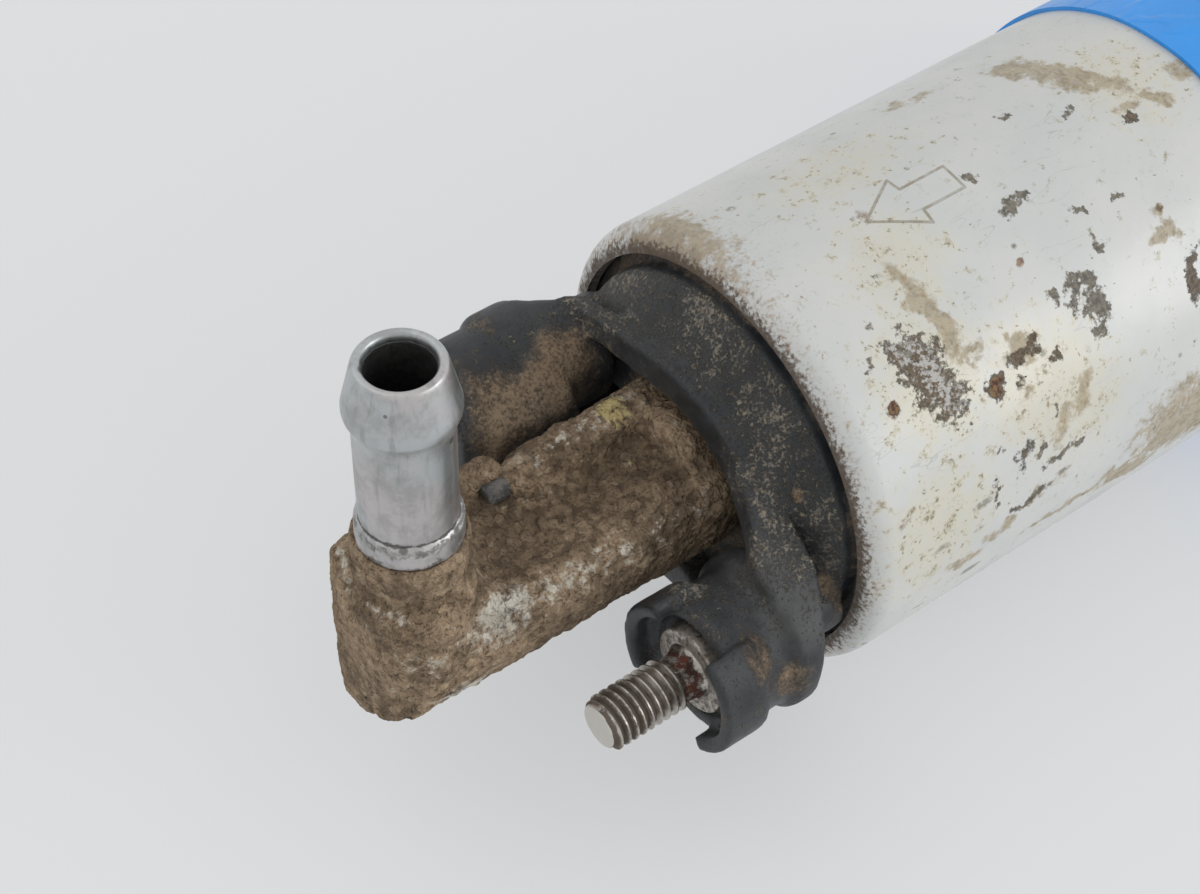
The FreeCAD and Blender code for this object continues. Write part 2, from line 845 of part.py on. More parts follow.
def make_inlet_cover():
    """The die-cast end that closes the barrel and carries the relief valve."""
    shoulder_x = cover_end - roll_r + barrel_wall
    round_r = 2.4
    k = round_r * (1 - math.sqrt(0.5))
    shoulder_end = cover_end + cover_shoulder
    path = [
        (cover_start, 0),
        (cover_start, fit_r),
        (shoulder_x, fit_r),
        (cover_end, lip_r - fit_gap),
        (cover_end, cover_neck_r),
        (shoulder_end - round_r, cover_neck_r),
        ((shoulder_end - k, cover_neck_r - k), (shoulder_end, cover_neck_r - round_r)),
        (cover_front, cover_face_r),
        (cover_front, spigot_boss_r + 0.8),
        (cover_front + 0.8, spigot_boss_r),
        (cover_front + spigot_boss_length, spigot_boss_r - 0.4),
        (cover_front + spigot_boss_length, 0),
    ]
    body = turned(path)
    chamber_start = cover_end - inlet_chamber_length
    body = body.cut(rod(inlet_chamber_r, chamber_start, cover_end))
    body = body.cut(rod(inlet_bore_r, chamber_start, tube_seat + 1))
    body = body.cut(rod(inlet_tube_r, tube_seat, cover_front + spigot_boss_length + 1))
    body = body.cut(port(cover_start - 1, chamber_start + 1, 270))
    body = body.cut(port(cover_start - 1, cover_start + port_pocket, 90))
    body = body.cut(rod(relief_hole_r, cover_start, chamber_start, relief_yz()))
    body = body.cut(rod(relief_bore_r, cover_start + relief_seat_depth, chamber_start + 3, relief_yz()))
    body = body.cut(rod(shaft_r + 0.3, cover_start - 1, cover_start + rotor_length / 3 + 0.6))
    groove_x = cover_start + cover_seal_from_front
    groove_r = fit_r - 2 * seal_r + fit_gap
    return body.cut(ring(barrel_r, groove_r, groove_x - seal_r, groove_x + seal_r))


def make_seal(x):
    """A round rubber ring squeezed between an end piece and the barrel."""
    return torus(barrel_r - barrel_wall - seal_r, seal_r - seal_squeeze, x)


def make_spigot_seal():
    big_r = spigot_r + socket_gap - spigot_seal_r
    return torus(big_r, spigot_seal_r - seal_squeeze, spigot_end - spigot_seal_from_end)


def relief_ball_x():
    drop = math.sqrt(relief_ball_r ** 2 - relief_hole_r ** 2)
    return cover_start + relief_seat_depth + drop + seal_squeeze


def make_relief_ball():
    yz = relief_yz()
    return Part.makeSphere(relief_ball_r, Vector(relief_ball_x(), yz[0], yz[1]))


def make_relief_spring():
    start = relief_ball_x() + relief_ball_r * 0.85
    return coil(start, relief_clip_start, relief_spring_r, relief_spring_turns, relief_yz())


def make_relief_clip():
    end = relief_clip_start + relief_clip_length
    return ring(relief_bore_r, relief_bore_r * 0.45, relief_clip_start, end, relief_yz())


def make_inlet_tube():
    end = tube_seat + inlet_tube_length
    bead = end - inlet_bead_from_end
    lip = 0.5
    path = [
        (tube_seat + 1.0, inlet_bore_r),
        (end - lip, inlet_bore_r),
        ((end, inlet_bore_r + lip), (end - lip, inlet_bore_r + 2 * lip)),
        (bead, inlet_bead_r),
        (bead - inlet_bead_land, inlet_bead_r),
        (bead - inlet_bead_length, inlet_tube_r),
        (tube_seat + 1.0, inlet_tube_r),
    ]
    return turned(path)


def make_strainer():
    """The sieve cup that is held between the inlet tube and the cover."""
    x0, x1 = tube_seat, tube_seat + strainer_length
    cup = ring(strainer_r, strainer_r - strainer_wall, x0, x1)
    cup = cup.fuse(rod(strainer_r, x1 - strainer_wall, x1))
    cup = cup.fuse(ring(inlet_tube_r, strainer_r - strainer_wall, x0, x0 + 1.0))
    pitch = (strainer_length - 2.0) / strainer_window_rows
    for row in range(strainer_window_rows):
        start = x0 + 1.4 + row * pitch
        window = block(start, start + pitch - 1.0, 0, strainer_r + 1, -1.4, 1.4)
        cup = cup.cut(around(window, strainer_window_count))
    return cup.removeSplitter()


def elbow_plan(z):
    """Outline of the elbow's end seen from above, as a face at height z."""
    barb_x = -barb_from_rim
    corner_x = barb_x - (elbow_end_from_barb - elbow_end_r)
    corner_y = elbow_half_width - elbow_end_r
    circles = [
        (corner_x, -corner_y, elbow_end_r),
        (barb_x, 0, elbow_knee_r),
        (corner_x, corner_y, elbow_end_r),
    ]
    return belt(circles, lambda u, v: Vector(u, v, z))


def make_elbow():
    barb_x = -barb_from_rim
    arm = rod(arm_r, crown_floor, barb_x)
    flat_end = crown_floor - arm_root_length
    arm = arm.cut(block(barb_x, flat_end, -arm_r - 1, arm_r + 1, arm_flat_z, arm_r + 1))
    foot = elbow_plan(-arm_r).extrude(Vector(0, 0, arm_r + elbow_shoulder_z))
    soft = [e for e in foot.Edges if abs(e.CenterOfMass.z - elbow_shoulder_z) < 0.01]
    foot = foot.makeFillet(2.2, soft)
    reach = 3 * arm_r
    room = rod(arm_r, barb_x - reach, barb_x + reach)
    room = room.fuse(block(barb_x - reach, barb_x + reach, -reach, reach, 0, reach))
    body = arm.fuse(foot.common(room)).fuse(Part.makeCylinder(boss_r, boss_top_z, Vector(barb_x, 0, 0), Z))
    gallery_start = crown_floor - gallery_length
    body = body.fuse(rod(gallery_r, gallery_start, crown_floor, gallery_yz))
    body = body.fuse(rod(spigot_r, crown_floor, spigot_end))
    groove_x = spigot_end - spigot_seal_from_end
    groove_r = spigot_r + socket_gap - 2 * spigot_seal_r
    body = body.cut(ring(arm_r, groove_r, groove_x - spigot_seal_r, groove_x + spigot_seal_r))
    body = body.cut(rod(elbow_bore_r, barb_x, spigot_end))
    body = body.cut(rod(valve_chamber_r, valve_chamber_front, spigot_end + 1))
    body = body.cut(rod(valve_seat_r, valve_seat_start, spigot_end + 1))
    body = body.cut(Part.makeCylinder(elbow_bore_r, boss_top_z, Vector(barb_x, 0, 0), Z))
    socket = Part.makeCylinder(barb_tube_r, boss_top_z, Vector(barb_x, 0, barb_socket_z), Z)
    body = body.cut(socket)
    body = body.cut(rod(gallery_pin_r, gallery_start - 1, gallery_start + gallery_pin_depth, gallery_yz))
    return body.removeSplitter()


def make_gallery_pin():
    start = crown_floor - gallery_length
    return rod(gallery_pin_r, start - gallery_pin_stand, start + gallery_pin_depth, gallery_yz)


def make_hose_barb():
    lip = (barb_tube_r - barb_bore_r) / 2
    collar_low = boss_top_z
    collar_high = boss_top_z + barb_collar_length
    path = [
        (barb_bore_r, barb_socket_z),
        (barb_bore_r, barb_top_z - lip * 0.6),
        ((barb_bore_r + lip * 0.5, barb_top_z), (barb_bore_r + lip * 1.3, barb_top_z - lip * 0.5)),
        (barb_bead_r - 0.12, barb_bead_z + barb_bead_land / 2 + 0.5),
        (barb_bead_r, barb_bead_z + barb_bead_land / 2),
        (barb_bead_r, barb_bead_z - barb_bead_land / 2),
        (barb_bead_r - 0.2, barb_bead_z - barb_bead_land / 2 - 0.7),
        (barb_tube_r, barb_bead_foot_z),
        (barb_tube_r, collar_high),
        (barb_collar_r, collar_high - 0.4),
        (barb_collar_r, collar_low),
        (barb_tube_r, collar_low),
        (barb_tube_r, barb_socket_z),
    ]
    return turned_up(path, -barb_from_rim)


def make_valve_seat():
    r = valve_seat_bore_r
    path = [
        (valve_seat_start, r + 0.5),
        (valve_seat_start + 0.5, r),
        (spigot_end, r),
        (spigot_end, valve_seat_r),
        (valve_seat_start, valve_seat_r),
    ]
    return turned(path)


def make_poppet():
    """The check valve's poppet, guided by four wings and a stem."""
    back = poppet_back
    front = back - poppet_disc_length
    path = [
        (back, 0),
        (back, valve_seat_bore_r),
        (back - 0.4, poppet_disc_r),
        (front, poppet_disc_r),
        (front, poppet_stem_r),
        (front - poppet_stem_length + 0.5, poppet_stem_r),
        (front - poppet_stem_length, poppet_stem_r - 0.5),
        (front - poppet_stem_length, 0),
    ]
    body = turned(path)
    half = poppet_wing_width / 2
    wing = block(front, back - 0.4, 0, poppet_wing_r + 1, -half, half)
    wing = wing.common(rod(poppet_wing_r, front - 1, back + 1))
    return body.fuse(around(wing, 4)).removeSplitter()


def make_valve_spring():
    start = valve_chamber_front
    end = poppet_back - poppet_disc_length
    return coil(start, end, valve_spring_r, valve_spring_turns)


def make_front_bush():
    return ring(bush_r, shaft_r + running_gap, bush_start, hub_end)


def make_rear_bush():
    return ring(bush_r, shaft_r + running_gap, rear_bush_start, rear_bush_start + bush_length)


def make_washer(start):
    return ring(washer_r, shaft_r, start, start + washer_length)


def make_parts():
    """Every sub-part of the pump by name."""
    parts = {
        "barrel": make_barrel(),
        "clamp_sleeve": make_sleeve(),
        "outlet_cap": make_cap(),
        "cap_seal": make_seal(cap_back - seal_r),
        "brush_holder": make_brush_holder(),
        "outlet_elbow": make_elbow(),
        "hose_barb": make_hose_barb(),
        "gallery_pin": make_gallery_pin(),
        "elbow_seal": make_spigot_seal(),
        "check_valve_seat": make_valve_seat(),
        "check_valve_poppet": make_poppet(),
        "check_valve_spring": make_valve_spring(),
        "positive_stud": make_stud(positive_yz, positive_thread_r, positive_tip, positive_boss_front),
        "negative_stud": make_stud(negative_yz, negative_thread_r, negative_tip, negative_boss_front),
        "front_bush": make_front_bush(),
        "rear_bush": make_rear_bush(),
        "front_washer": make_washer(commutator_start - washer_length),
        "rear_washer": make_washer(winding_end + end_float),
        "commutator": make_commutator(),
        "armature_core": make_core(),
        "armature_winding": make_winding(),
        "armature_shaft": make_shaft(),
        "flux_ring": make_flux_ring(),
        "magnet_clips": make_clips(),
        "bearing_plate": make_bearing_plate(),
        "rotor_housing": make_rotor_housing(),
        "inner_rotor": make_inner_rotor(),
        "outer_rotor": make_outer_rotor(),
        "inlet_cover": make_inlet_cover(),
        "cover_seal": make_seal(cover_start + cover_seal_from_front),
        "inlet_tube": make_inlet_tube(),
        "inlet_strainer": make_strainer(),
        "relief_ball": make_relief_ball(),
        "relief_spring": make_relief_spring(),
        "relief_clip": make_relief_clip(),
    }
    for name, side, thread_r in (("negative", 0, negative_thread_r), ("positive", 180, positive_thread_r)):
        parts[name + "_brush"] = make_brush(side)
        parts[name + "_brush_tube"] = make_brush_tube(side)
        parts[name + "_brush_spring"] = make_brush_spring(side)
        parts[name + "_strip"] = make_strip(side, thread_r)
        parts[name + "_side_magnet"] = make_magnet(terminal_line_deg + 90 + side)
    return parts


def main():
    os.makedirs("parts", exist_ok=True)
    for name, shape in make_parts().items():
        placed = shape.copy()
        placed.translate(Vector(-sleeve_from_rim - sleeve_width / 2, 0, 0))
        solids = placed.Solids
        whole = solids[0] if len(solids) == 1 else Part.Compound(solids)
        print(name, len(solids), whole.isValid(), round(whole.Volume, 2))
        whole.exportStep("parts/" + name + ".step")


main()
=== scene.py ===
import json
import math
from functools import reduce

import bmesh
import bpy
from bpy.props import FloatProperty, FloatVectorProperty, IntProperty, PointerProperty
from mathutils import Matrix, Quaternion, Vector, noise
from mathutils.geometry import interpolate_bezier


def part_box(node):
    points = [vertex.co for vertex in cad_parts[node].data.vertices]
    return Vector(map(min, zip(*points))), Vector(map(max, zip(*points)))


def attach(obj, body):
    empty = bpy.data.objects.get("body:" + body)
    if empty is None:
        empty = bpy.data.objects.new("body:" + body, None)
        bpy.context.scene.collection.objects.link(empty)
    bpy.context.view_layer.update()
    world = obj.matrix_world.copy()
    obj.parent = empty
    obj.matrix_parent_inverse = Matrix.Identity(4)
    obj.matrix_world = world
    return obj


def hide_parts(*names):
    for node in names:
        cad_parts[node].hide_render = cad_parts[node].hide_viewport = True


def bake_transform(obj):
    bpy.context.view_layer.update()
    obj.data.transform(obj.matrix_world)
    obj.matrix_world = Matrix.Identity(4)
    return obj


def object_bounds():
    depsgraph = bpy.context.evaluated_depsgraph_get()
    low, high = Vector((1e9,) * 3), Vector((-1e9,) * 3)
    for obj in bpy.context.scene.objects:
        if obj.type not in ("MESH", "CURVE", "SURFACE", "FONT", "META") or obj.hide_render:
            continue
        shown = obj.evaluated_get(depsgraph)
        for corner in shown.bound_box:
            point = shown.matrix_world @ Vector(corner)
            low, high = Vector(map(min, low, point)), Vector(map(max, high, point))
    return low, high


bl_info = {
    "name": "Inline fuel pump",
    "version": (1, 0, 0),
    "blender": (4, 5, 0),
    "location": "View3D > Sidebar > Fuel pump",
    "description": "Dresses the packed fuel pump with its worn finishes",
    "category": "Object",
}

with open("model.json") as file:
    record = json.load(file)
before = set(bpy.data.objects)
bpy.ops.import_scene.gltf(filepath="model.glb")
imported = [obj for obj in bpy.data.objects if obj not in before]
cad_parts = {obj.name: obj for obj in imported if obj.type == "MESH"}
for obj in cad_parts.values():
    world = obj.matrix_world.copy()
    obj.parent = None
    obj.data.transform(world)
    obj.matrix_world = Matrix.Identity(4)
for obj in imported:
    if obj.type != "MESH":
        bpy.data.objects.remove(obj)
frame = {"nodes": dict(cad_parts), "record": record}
cad_low, cad_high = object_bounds()

MM = 0.001
X_AXIS = Vector((1, 0, 0))
Z_AXIS = Vector((0, 0, 1))
ORIGIN = (0.0, 0.0, 0.0)
HOUSING = "housing"
SHARP_ANGLE = math.radians(35)
# How near two vertices lie to count as one, in metres: in a new body, and in a node's mesh
WELD = 1e-6
NODE_WELD = 1e-7

BARREL_LOW, BARREL_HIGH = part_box("barrel")
RIM_X = BARREL_LOW.x
BARREL_R = BARREL_HIGH.y
BARB_LOW, BARB_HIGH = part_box("hose_barb")
BARB_X = (BARB_LOW.x + BARB_HIGH.x) / 2
# In millimetres: how far the barb stands in front of the rim, and the middle of the elbow's rib
BARB_TO_RIM = 38.35
RIB_Y, RIB_Z = 5.5, 5.2
# Where the photograph was taken from: azimuth, elevation and roll, and rim millimetres
CAMERA_ANGLES = (-38.626, 47.381, 1.369)
CAMERA_PLACE = (-119.3, -130.2, 191.8)


def node_middle(node):
    """The middle of a node's box across the pump's axis."""
    low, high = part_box(node)
    return Vector((0, (low.y + high.y) / 2, (low.z + high.z) / 2))


POSITIVE = node_middle("positive_stud")
NEGATIVE = node_middle("negative_stud")


def from_rim(x):
    """A place along the axis, from millimetres behind the barrel's front rim."""
    return RIM_X + x * MM


def rim_mm(point):
    """A point in millimetres, measured from the middle of the barrel's front rim."""
    return (point.x - RIM_X) / MM, point.y / MM, point.z / MM


def rim_point(x, y, z):
    """The point that lies at these millimetres from the middle of the rim."""
    return Vector((from_rim(x), y * MM, z * MM))


class PumpColours(bpy.types.PropertyGroup):
    paint: FloatVectorProperty(
        name="Barrel paint", description="Colour of the clean paint", subtype="COLOR",
        default=(0.60, 0.605, 0.585), min=0, max=1)
    sleeve: FloatVectorProperty(
        name="Sleeve", description="Colour of the plastic sleeve", subtype="COLOR",
        default=(0.032, 0.31, 0.84), min=0, max=1)
    plastic: FloatVectorProperty(
        name="Plastic", description="Colour of the clean black moulding", subtype="COLOR",
        default=(0.013, 0.015, 0.018), min=0, max=1)
    dust: FloatVectorProperty(
        name="Dust", description="Colour of dry dust on the moulding", subtype="COLOR",
        default=(0.285, 0.25, 0.195), min=0, max=1)
    mud: FloatVectorProperty(
        name="Mud", description="Colour of the dried mud", subtype="COLOR",
        default=(0.295, 0.215, 0.140), min=0, max=1)
    rust: FloatVectorProperty(
        name="Rust", description="Colour of the rust", subtype="COLOR",
        default=(0.085, 0.028, 0.016), min=0, max=1)
    zinc: FloatVectorProperty(
        name="Zinc", description="Colour of the plated hose barb", subtype="COLOR",
        default=(0.52, 0.525, 0.52), min=0, max=1)


class PumpSizes(bpy.types.PropertyGroup):
    turned_steps: IntProperty(
        name="Turned steps", description="Steps round a turned piece", default=192, min=24)
    thread_pitch: FloatProperty(
        name="Thread pitch", description="Pitch of the terminal threads",
        unit="LENGTH", default=0.001, min=0.0003)
    thread_depth: FloatProperty(
        name="Thread depth", description="Depth of the terminal threads",
        unit="LENGTH", default=0.0006, min=0.0001)
    mud_height: FloatProperty(
        name="Mud height", description="Thickest mud on the elbow",
        unit="LENGTH", default=0.0011, min=0)
    cap_grid: FloatProperty(
        name="Cap grid", description="Mesh size of the moulded cap",
        unit="LENGTH", default=0.00040, min=0.0002)
    elbow_grid: FloatProperty(
        name="Elbow grid", description="Mesh size of the muddy elbow",
        unit="LENGTH", default=0.00034, min=0.0002)
    sleeve_wave: FloatProperty(
        name="Sleeve wave", description="How far the sleeve's edges stray from straight",
        unit="LENGTH", default=0.00025, min=0)


class PumpStage(bpy.types.PropertyGroup):
    floor: FloatVectorProperty(
        name="Floor", description="Colour of the floor", subtype="COLOR",
        default=(0.755, 0.765, 0.775), min=0, max=1)
    lift: FloatProperty(
        name="Lift", description="Share of the floor that looks lit even where it is shaded",
        default=0.55, min=0, max=1)
    sky: FloatProperty(
        name="Sky", description="Strength of the light from all round", default=0.80, min=0)
    window: FloatProperty(
        name="Window", description="Power of the large lamp at the right",
        unit="POWER", default=2.8, min=0)
    ceiling: FloatProperty(
        name="Ceiling", description="Power of the lamp above", unit="POWER", default=0.9, min=0)
    lens: FloatProperty(
        name="Lens", description="Focal length on a 36 mm wide sensor", default=73.185, min=1)


class Net:
    """Short calls that add shader nodes to one tree."""

    def __init__(self, tree):
        self.tree = tree

    def add(self, kind, inputs=None, **settings):
        node = self.tree.nodes.new("ShaderNode" + kind)
        for name, value in settings.items():
            setattr(node, name, value)
        for name, value in (inputs or {}).items():
            self.feed(node.inputs[name], value)
        return node

    def feed(self, socket, value):
        if isinstance(value, bpy.types.NodeSocket):
            self.tree.links.new(value, socket)
        elif socket.type == "RGBA" and len(value) == 3:
            socket.default_value = (*value, 1)
        else:
            socket.default_value = value

    def place(self):
        return self.add("TexCoord").outputs["Object"]

    def attribute(self, name):
        return self.add("Attribute", attribute_name=name).outputs["Fac"]

    def math(self, operation, a, b=0.0, clamp=False):
        return self.add("Math", {0: a, 1: b}, operation=operation, use_clamp=clamp).outputs[0]

    def plus(self, a, b):
        return self.math("ADD", a, b)

    def minus(self, a, b):
        return self.math("SUBTRACT", a, b)

    def times(self, a, b):
        return self.math("MULTIPLY", a, b)

    def most(self, a, b):
        return self.math("MAXIMUM", a, b)

    def swing(self, cloud, reach):
        """A cloud made to swing to both sides of zero."""
        return self.times(self.minus(cloud, 0.5), reach)

    def vector(self, operation, a, b=(0, 0, 0), output=0):
        return self.add("VectorMath", {0: a, 1: b}, operation=operation).outputs[output]

    def remap(self, value, low, high, start=0.0, end=1.0):
        inputs = {"Value": value, "From Min": low, "From Max": high, "To Min": start, "To Max": end}
        return self.add("MapRange", inputs, interpolation_type="SMOOTHSTEP").outputs[0]

    def blend(self, factor, a, b):
        return self.add("Mix", {0: factor, 6: a, 7: b}, data_type="RGBA").outputs[2]

    def mottle(self, cloud, low, high, a, b):
        """A colour that turns from a to b where a cloud rises from low to high."""
        return self.blend(self.remap(cloud, low, high), a, b)

    def tint(self, colour, mask, amount, other):
        """Lays another colour over a colour by a mask times an amount."""
        return self.blend(self.times(mask, amount), colour, other)

    def cloud(self, vector, scale, detail=5.0, roughness=0.55, distortion=0.0):
        inputs = {"Vector": vector, "Scale": scale, "Detail": detail}
        inputs.update({"Roughness": roughness, "Distortion": distortion})
        return self.add("TexNoise", inputs).outputs[0]

    def cells(self, vector, scale):
        return self.add("TexVoronoi", {"Vector": vector, "Scale": scale}).outputs

    def effect(self, name, vector, **inputs):
        """A shared effect's mask. Its inputs go by their labels in lower case."""
        node = self.add("Group", node_tree=effects[name])
        for label, value in {"vector": vector, **inputs}.items():
            self.feed(node.inputs[label.capitalize()], value)
        return node.outputs[0]

    def bump(self, height, distance, normal=None):
        inputs = {"Height": height, "Distance": distance}
        if normal is not None:
            inputs["Normal"] = normal
        return self.add("Bump", inputs).outputs[0]


def new_group(name, **inputs):
    """An empty effect with named inputs and one output."""
    tree = bpy.data.node_groups.new(name, "ShaderNodeTree")
    for label, value in inputs.items():
        kind = "NodeSocketFloat" if isinstance(value, float) else "NodeSocketVector"
        tree.interface.new_socket(name=label, in_out="INPUT", socket_type=kind).default_value = value
    tree.interface.new_socket(name="Mask", in_out="OUTPUT", socket_type="NodeSocketFloat")
    given = tree.nodes.new("NodeGroupInput").outputs
    wanted = tree.nodes.new("NodeGroupOutput").inputs[0]
    return Net(tree), given, wanted


def make_specks():
    """Round dots of mixed size, spread at random."""
    net, given, wanted = new_group("Specks", Vector=ORIGIN, Scale=300.0, Cover=0.3, Softness=0.35)
    cells = net.cells(given["Vector"], given["Scale"])
    chance = net.add("SeparateColor", {0: cells["Color"]}).outputs[0]
    size = net.times(net.math("POWER", chance, 3.0), given["Cover"])
    inner = net.times(size, net.minus(1.0, given["Softness"]))
    net.feed(wanted, net.remap(cells["Distance"], size, inner))
    return net.tree


def make_patches():
    """Ragged patches where a cloud of noise is high."""
    net, given, wanted = new_group("Patches", Vector=ORIGIN, Scale=80.0, Low=0.5, High=0.6, Grain=0.6)
    cloud = net.cloud(given["Vector"], given["Scale"], 7.0, given["Grain"])
    net.feed(wanted, net.remap(cloud, given["Low"], given["High"]))
    return net.tree


def make_stain():
    """A soft mound on the unrolled surface, highest in its middle and turned about it."""
    net, given, wanted = new_group(
        "Stain", Vector=ORIGIN, Centre=ORIGIN, Size=(1.0, 1.0, 1.0), Turn=0.0, Height=1.0)
    offset = net.vector("SUBTRACT", given["Vector"], given["Centre"])
    turned = net.add("VectorRotate", {"Vector": offset, "Angle": given["Turn"]}, rotation_type="Z_AXIS")
    share = net.vector("DIVIDE", turned.outputs[0], given["Size"])
    length = net.vector("LENGTH", share, output="Value")
    net.feed(wanted, net.times(net.remap(length, 1.55, 0.2), given["Height"]))
    return net.tree


def make_ragged():
    """Turns a soft mound into a ragged mask by comparing it with noise."""
    net, given, wanted = new_group(
        "Ragged", Mound=0.5, Vector=ORIGIN, Scale=600.0, Grain=0.7, Reach=1.1, Softness=0.1)
    cloud = net.cloud(given["Vector"], given["Scale"], 6.0, given["Grain"])
    level = net.plus(given["Mound"], net.swing(cloud, given["Reach"]))
    mask = net.remap(level, net.minus(0.5, given["Softness"]), net.plus(0.5, given["Softness"]))
    net.feed(wanted, net.times(mask, net.remap(given["Mound"], 0.02, 0.12)))
    return net.tree


def make_stroke():
    """A straight engraved line between two points on the unrolled surface."""
    net, given, wanted = new_group("Stroke", Vector=ORIGIN, Start=ORIGIN, End=(1.0, 0.0, 0.0), Width=0.25)
    along = net.vector("SUBTRACT", given["End"], given["Start"])
    point = net.vector("SUBTRACT", given["Vector"], given["Start"])
    reach = net.vector("DOT_PRODUCT", point, along, "Value")
    whole = net.vector("DOT_PRODUCT", along, along, "Value")
    share = net.math("DIVIDE", reach, whole, clamp=True)
    nearest = net.add("VectorMath", {0: along, "Scale": share}, operation="SCALE").outputs[0]
    gap = net.vector("DISTANCE", point, nearest, "Value")
    net.feed(wanted, net.remap(gap, given["Width"], net.times(given["Width"], 0.5)))
    return net.tree


def make_scratches():
    """Fine lines that run mostly along one direction."""
    net, given, wanted = new_group(
        "Scratches", Vector=ORIGIN, Stretch=(1.0, 1.0, 1.0), Scale=900.0, Cover=0.06)
    vector = net.vector("MULTIPLY", given["Vector"], given["Stretch"])
    ridge = net.math("ABSOLUTE", net.minus(net.cloud(vector, given["Scale"], 3.0, 0.6), 0.5))
    net.feed(wanted, net.remap(ridge, given["Cover"], net.times(given["Cover"], 0.3)))
    return net.tree


effects = {
    "specks": make_specks(),
    "patches": make_patches(),
    "stain": make_stain(),
    "ragged": make_ragged(),
    "stroke": make_stroke(),
    "scratches": make_scratches(),
}


def new_finish(name, roughness=0.5, metallic=0.0, specular=0.5):
    """A material with a Principled shader, and calls that add nodes to it."""
    material = bpy.data.materials.new(name)
    material.use_nodes = True
    shader = material.node_tree.nodes["Principled BSDF"].inputs
    shader["Roughness"].default_value = roughness
    shader["Metallic"].default_value = metallic
    shader["Specular IOR Level"].default_value = specular
    return material, Net(material.node_tree), shader


def scaled(colour, *factors):
    """A colour times one factor, or times one for each channel."""
    return tuple(c * f for c, f in zip(colour, factors if len(factors) == 3 else factors * 3))


# Stains seen on the barrel: millimetres behind the rim, millimetres round from the top,
# half length, half width, turn in degrees and height
DARK_STAINS = (
    (31.0, 8.2, 1.7, 1.1, 0, 0.95), (32.8, 8.4, 1.1, 0.8, 0, 0.9), (30.3, 4.3, 1.0, 0.8, 20, 0.8),
    (39.2, -1.5, 1.1, 0.7, 0, 0.8), (45.3, 2.6, 0.8, 0.6, 0, 0.7), (38.0, 13.0, 0.7, 0.6, 0, 0.85),
    (42.9, 13.5, 0.6, 0.55, 0, 0.8), (37.4, 16.7, 0.7, 0.6, 0, 0.8), (32.7, 19.1, 1.5, 1.4, 0, 0.95),
    (34.7, 19.7, 1.4, 1.4, 0, 0.95), (34.4, 22.3, 1.5, 2.2, 10, 0.95), (30.0, 19.2, 0.8, 1.3, 0, 0.9),
    (33.9, 24.6, 0.9, 1.2, 0, 0.95), (32.0, 21.2, 1.4, 1.2, 0, 0.6), (25.0, 36.0, 2.4, 0.7, 155, 0.8),
    (22.6, 39.6, 2.0, 0.7, 175, 0.95), (19.6, 39.9, 1.3, 0.8, 175, 0.85), (28.5, 35.5, 1.8, 0.5, 165, 0.7),
    (6.4, 16.0, 1.0, 0.8, 30, 0.6), (9.0, 12.0, 0.8, 0.7, 0, 0.6), (12.4, 8.6, 0.9, 0.7, 0, 0.6),
    (22.5, 34.0, 0.6, 1.4, 10, 0.7), (25.4, 30.0, 0.8, 1.6, 20, 0.6), (17.4, 31.0, 0.6, 0.6, 0, 0.6),
)
BROWN_STAINS = (
    (12.2, 20.0, 5.6, 2.9, 68, 1.0), (10.0, 16.2, 2.0, 1.5, 80, 0.9), (18.9, 24.3, 1.3, 1.2, 0, 1.0),
    (24.9, 22.3, 1.1, 1.4, 0, 0.75), (22.8, 23.2, 1.9, 1.0, 10, 0.65), (47.6, 24.9, 1.1, 2.6, 15, 0.9),
    (27.2, 24.5, 0.9, 0.9, 0, 0.65), (22.4, 25.4, 1.0, 0.8, 0, 0.65), (50.8, 6.6, 1.2, 1.0, 0, 0.75),
    (16.3, 36.2, 0.7, 1.8, 0, 0.5), (20.5, 33.0, 1.1, 2.2, 20, 0.55), (6.6, 21.3, 0.9, 0.9, 0, 0.75),
)
PALE_FLECKS = (
    (12.9, 20.2, 4.4, 2.1, 68, 0.62), (10.8, 15.6, 2.2, 1.7, 40, 0.60), (13.6, 23.4, 2.2, 1.5, 70, 0.62),
)
TAN_STAINS = (
    (49.0, -3.2, 7.6, 2.6, 64, 0.9), (46.0, -7.0, 3.6, 1.9, 60, 0.85), (52.2, 1.0, 3.4, 1.5, 60, 0.75),
    (51.7, 5.0, 1.8, 1.0, 20, 0.85), (55.2, 5.8, 2.0, 1.1, 40, 0.9), (60.3, 4.2, 2.0, 1.5, 30, 0.6),
    (15.7, 14.1, 6.8, 1.5, 78, 0.95), (18.6, 19.8, 1.8, 2.6, 0, 0.6), (23.6, 22.3, 2.8, 1.7, 0, 0.8),
    (46.6, 16.9, 1.0, 0.8, 80, 0.85), (45.2, 19.2, 1.6, 1.0, 0, 0.9), (47.0, 19.0, 1.2, 1.5, 0, 0.85),
    (46.5, 42.5, 9.0, 6.4, 12, 1.0), (37.8, 46.3, 6.2, 1.9, 10, 0.9), (55.5, 38.0, 5.4, 5.8, 0, 0.95),
    (17.9, 41.8, 3.0, 1.2, 5, 0.8), (13.1, 43.6, 2.4, 1.2, 5, 0.8), (26.5, 32.0, 3.6, 1.5, 125, 0.75),
    (30.2, 29.5, 3.4, 1.8, 120, 0.75), (28.2, 45.9, 7.9, 0.9, 2, 0.7), (24.0, 39.3, 3.4, 1.3, 170, 0.7),
    (1.2, -10.0, 3.4, 11.0, 0, 0.80), (3.2, -2.5, 2.0, 4.0, 0, 0.45), (34.5, -12.0, 4.4, 2.2, 20, 0.55),
    (22.0, 27.0, 1.2, 2.6, 30, 0.6),
)
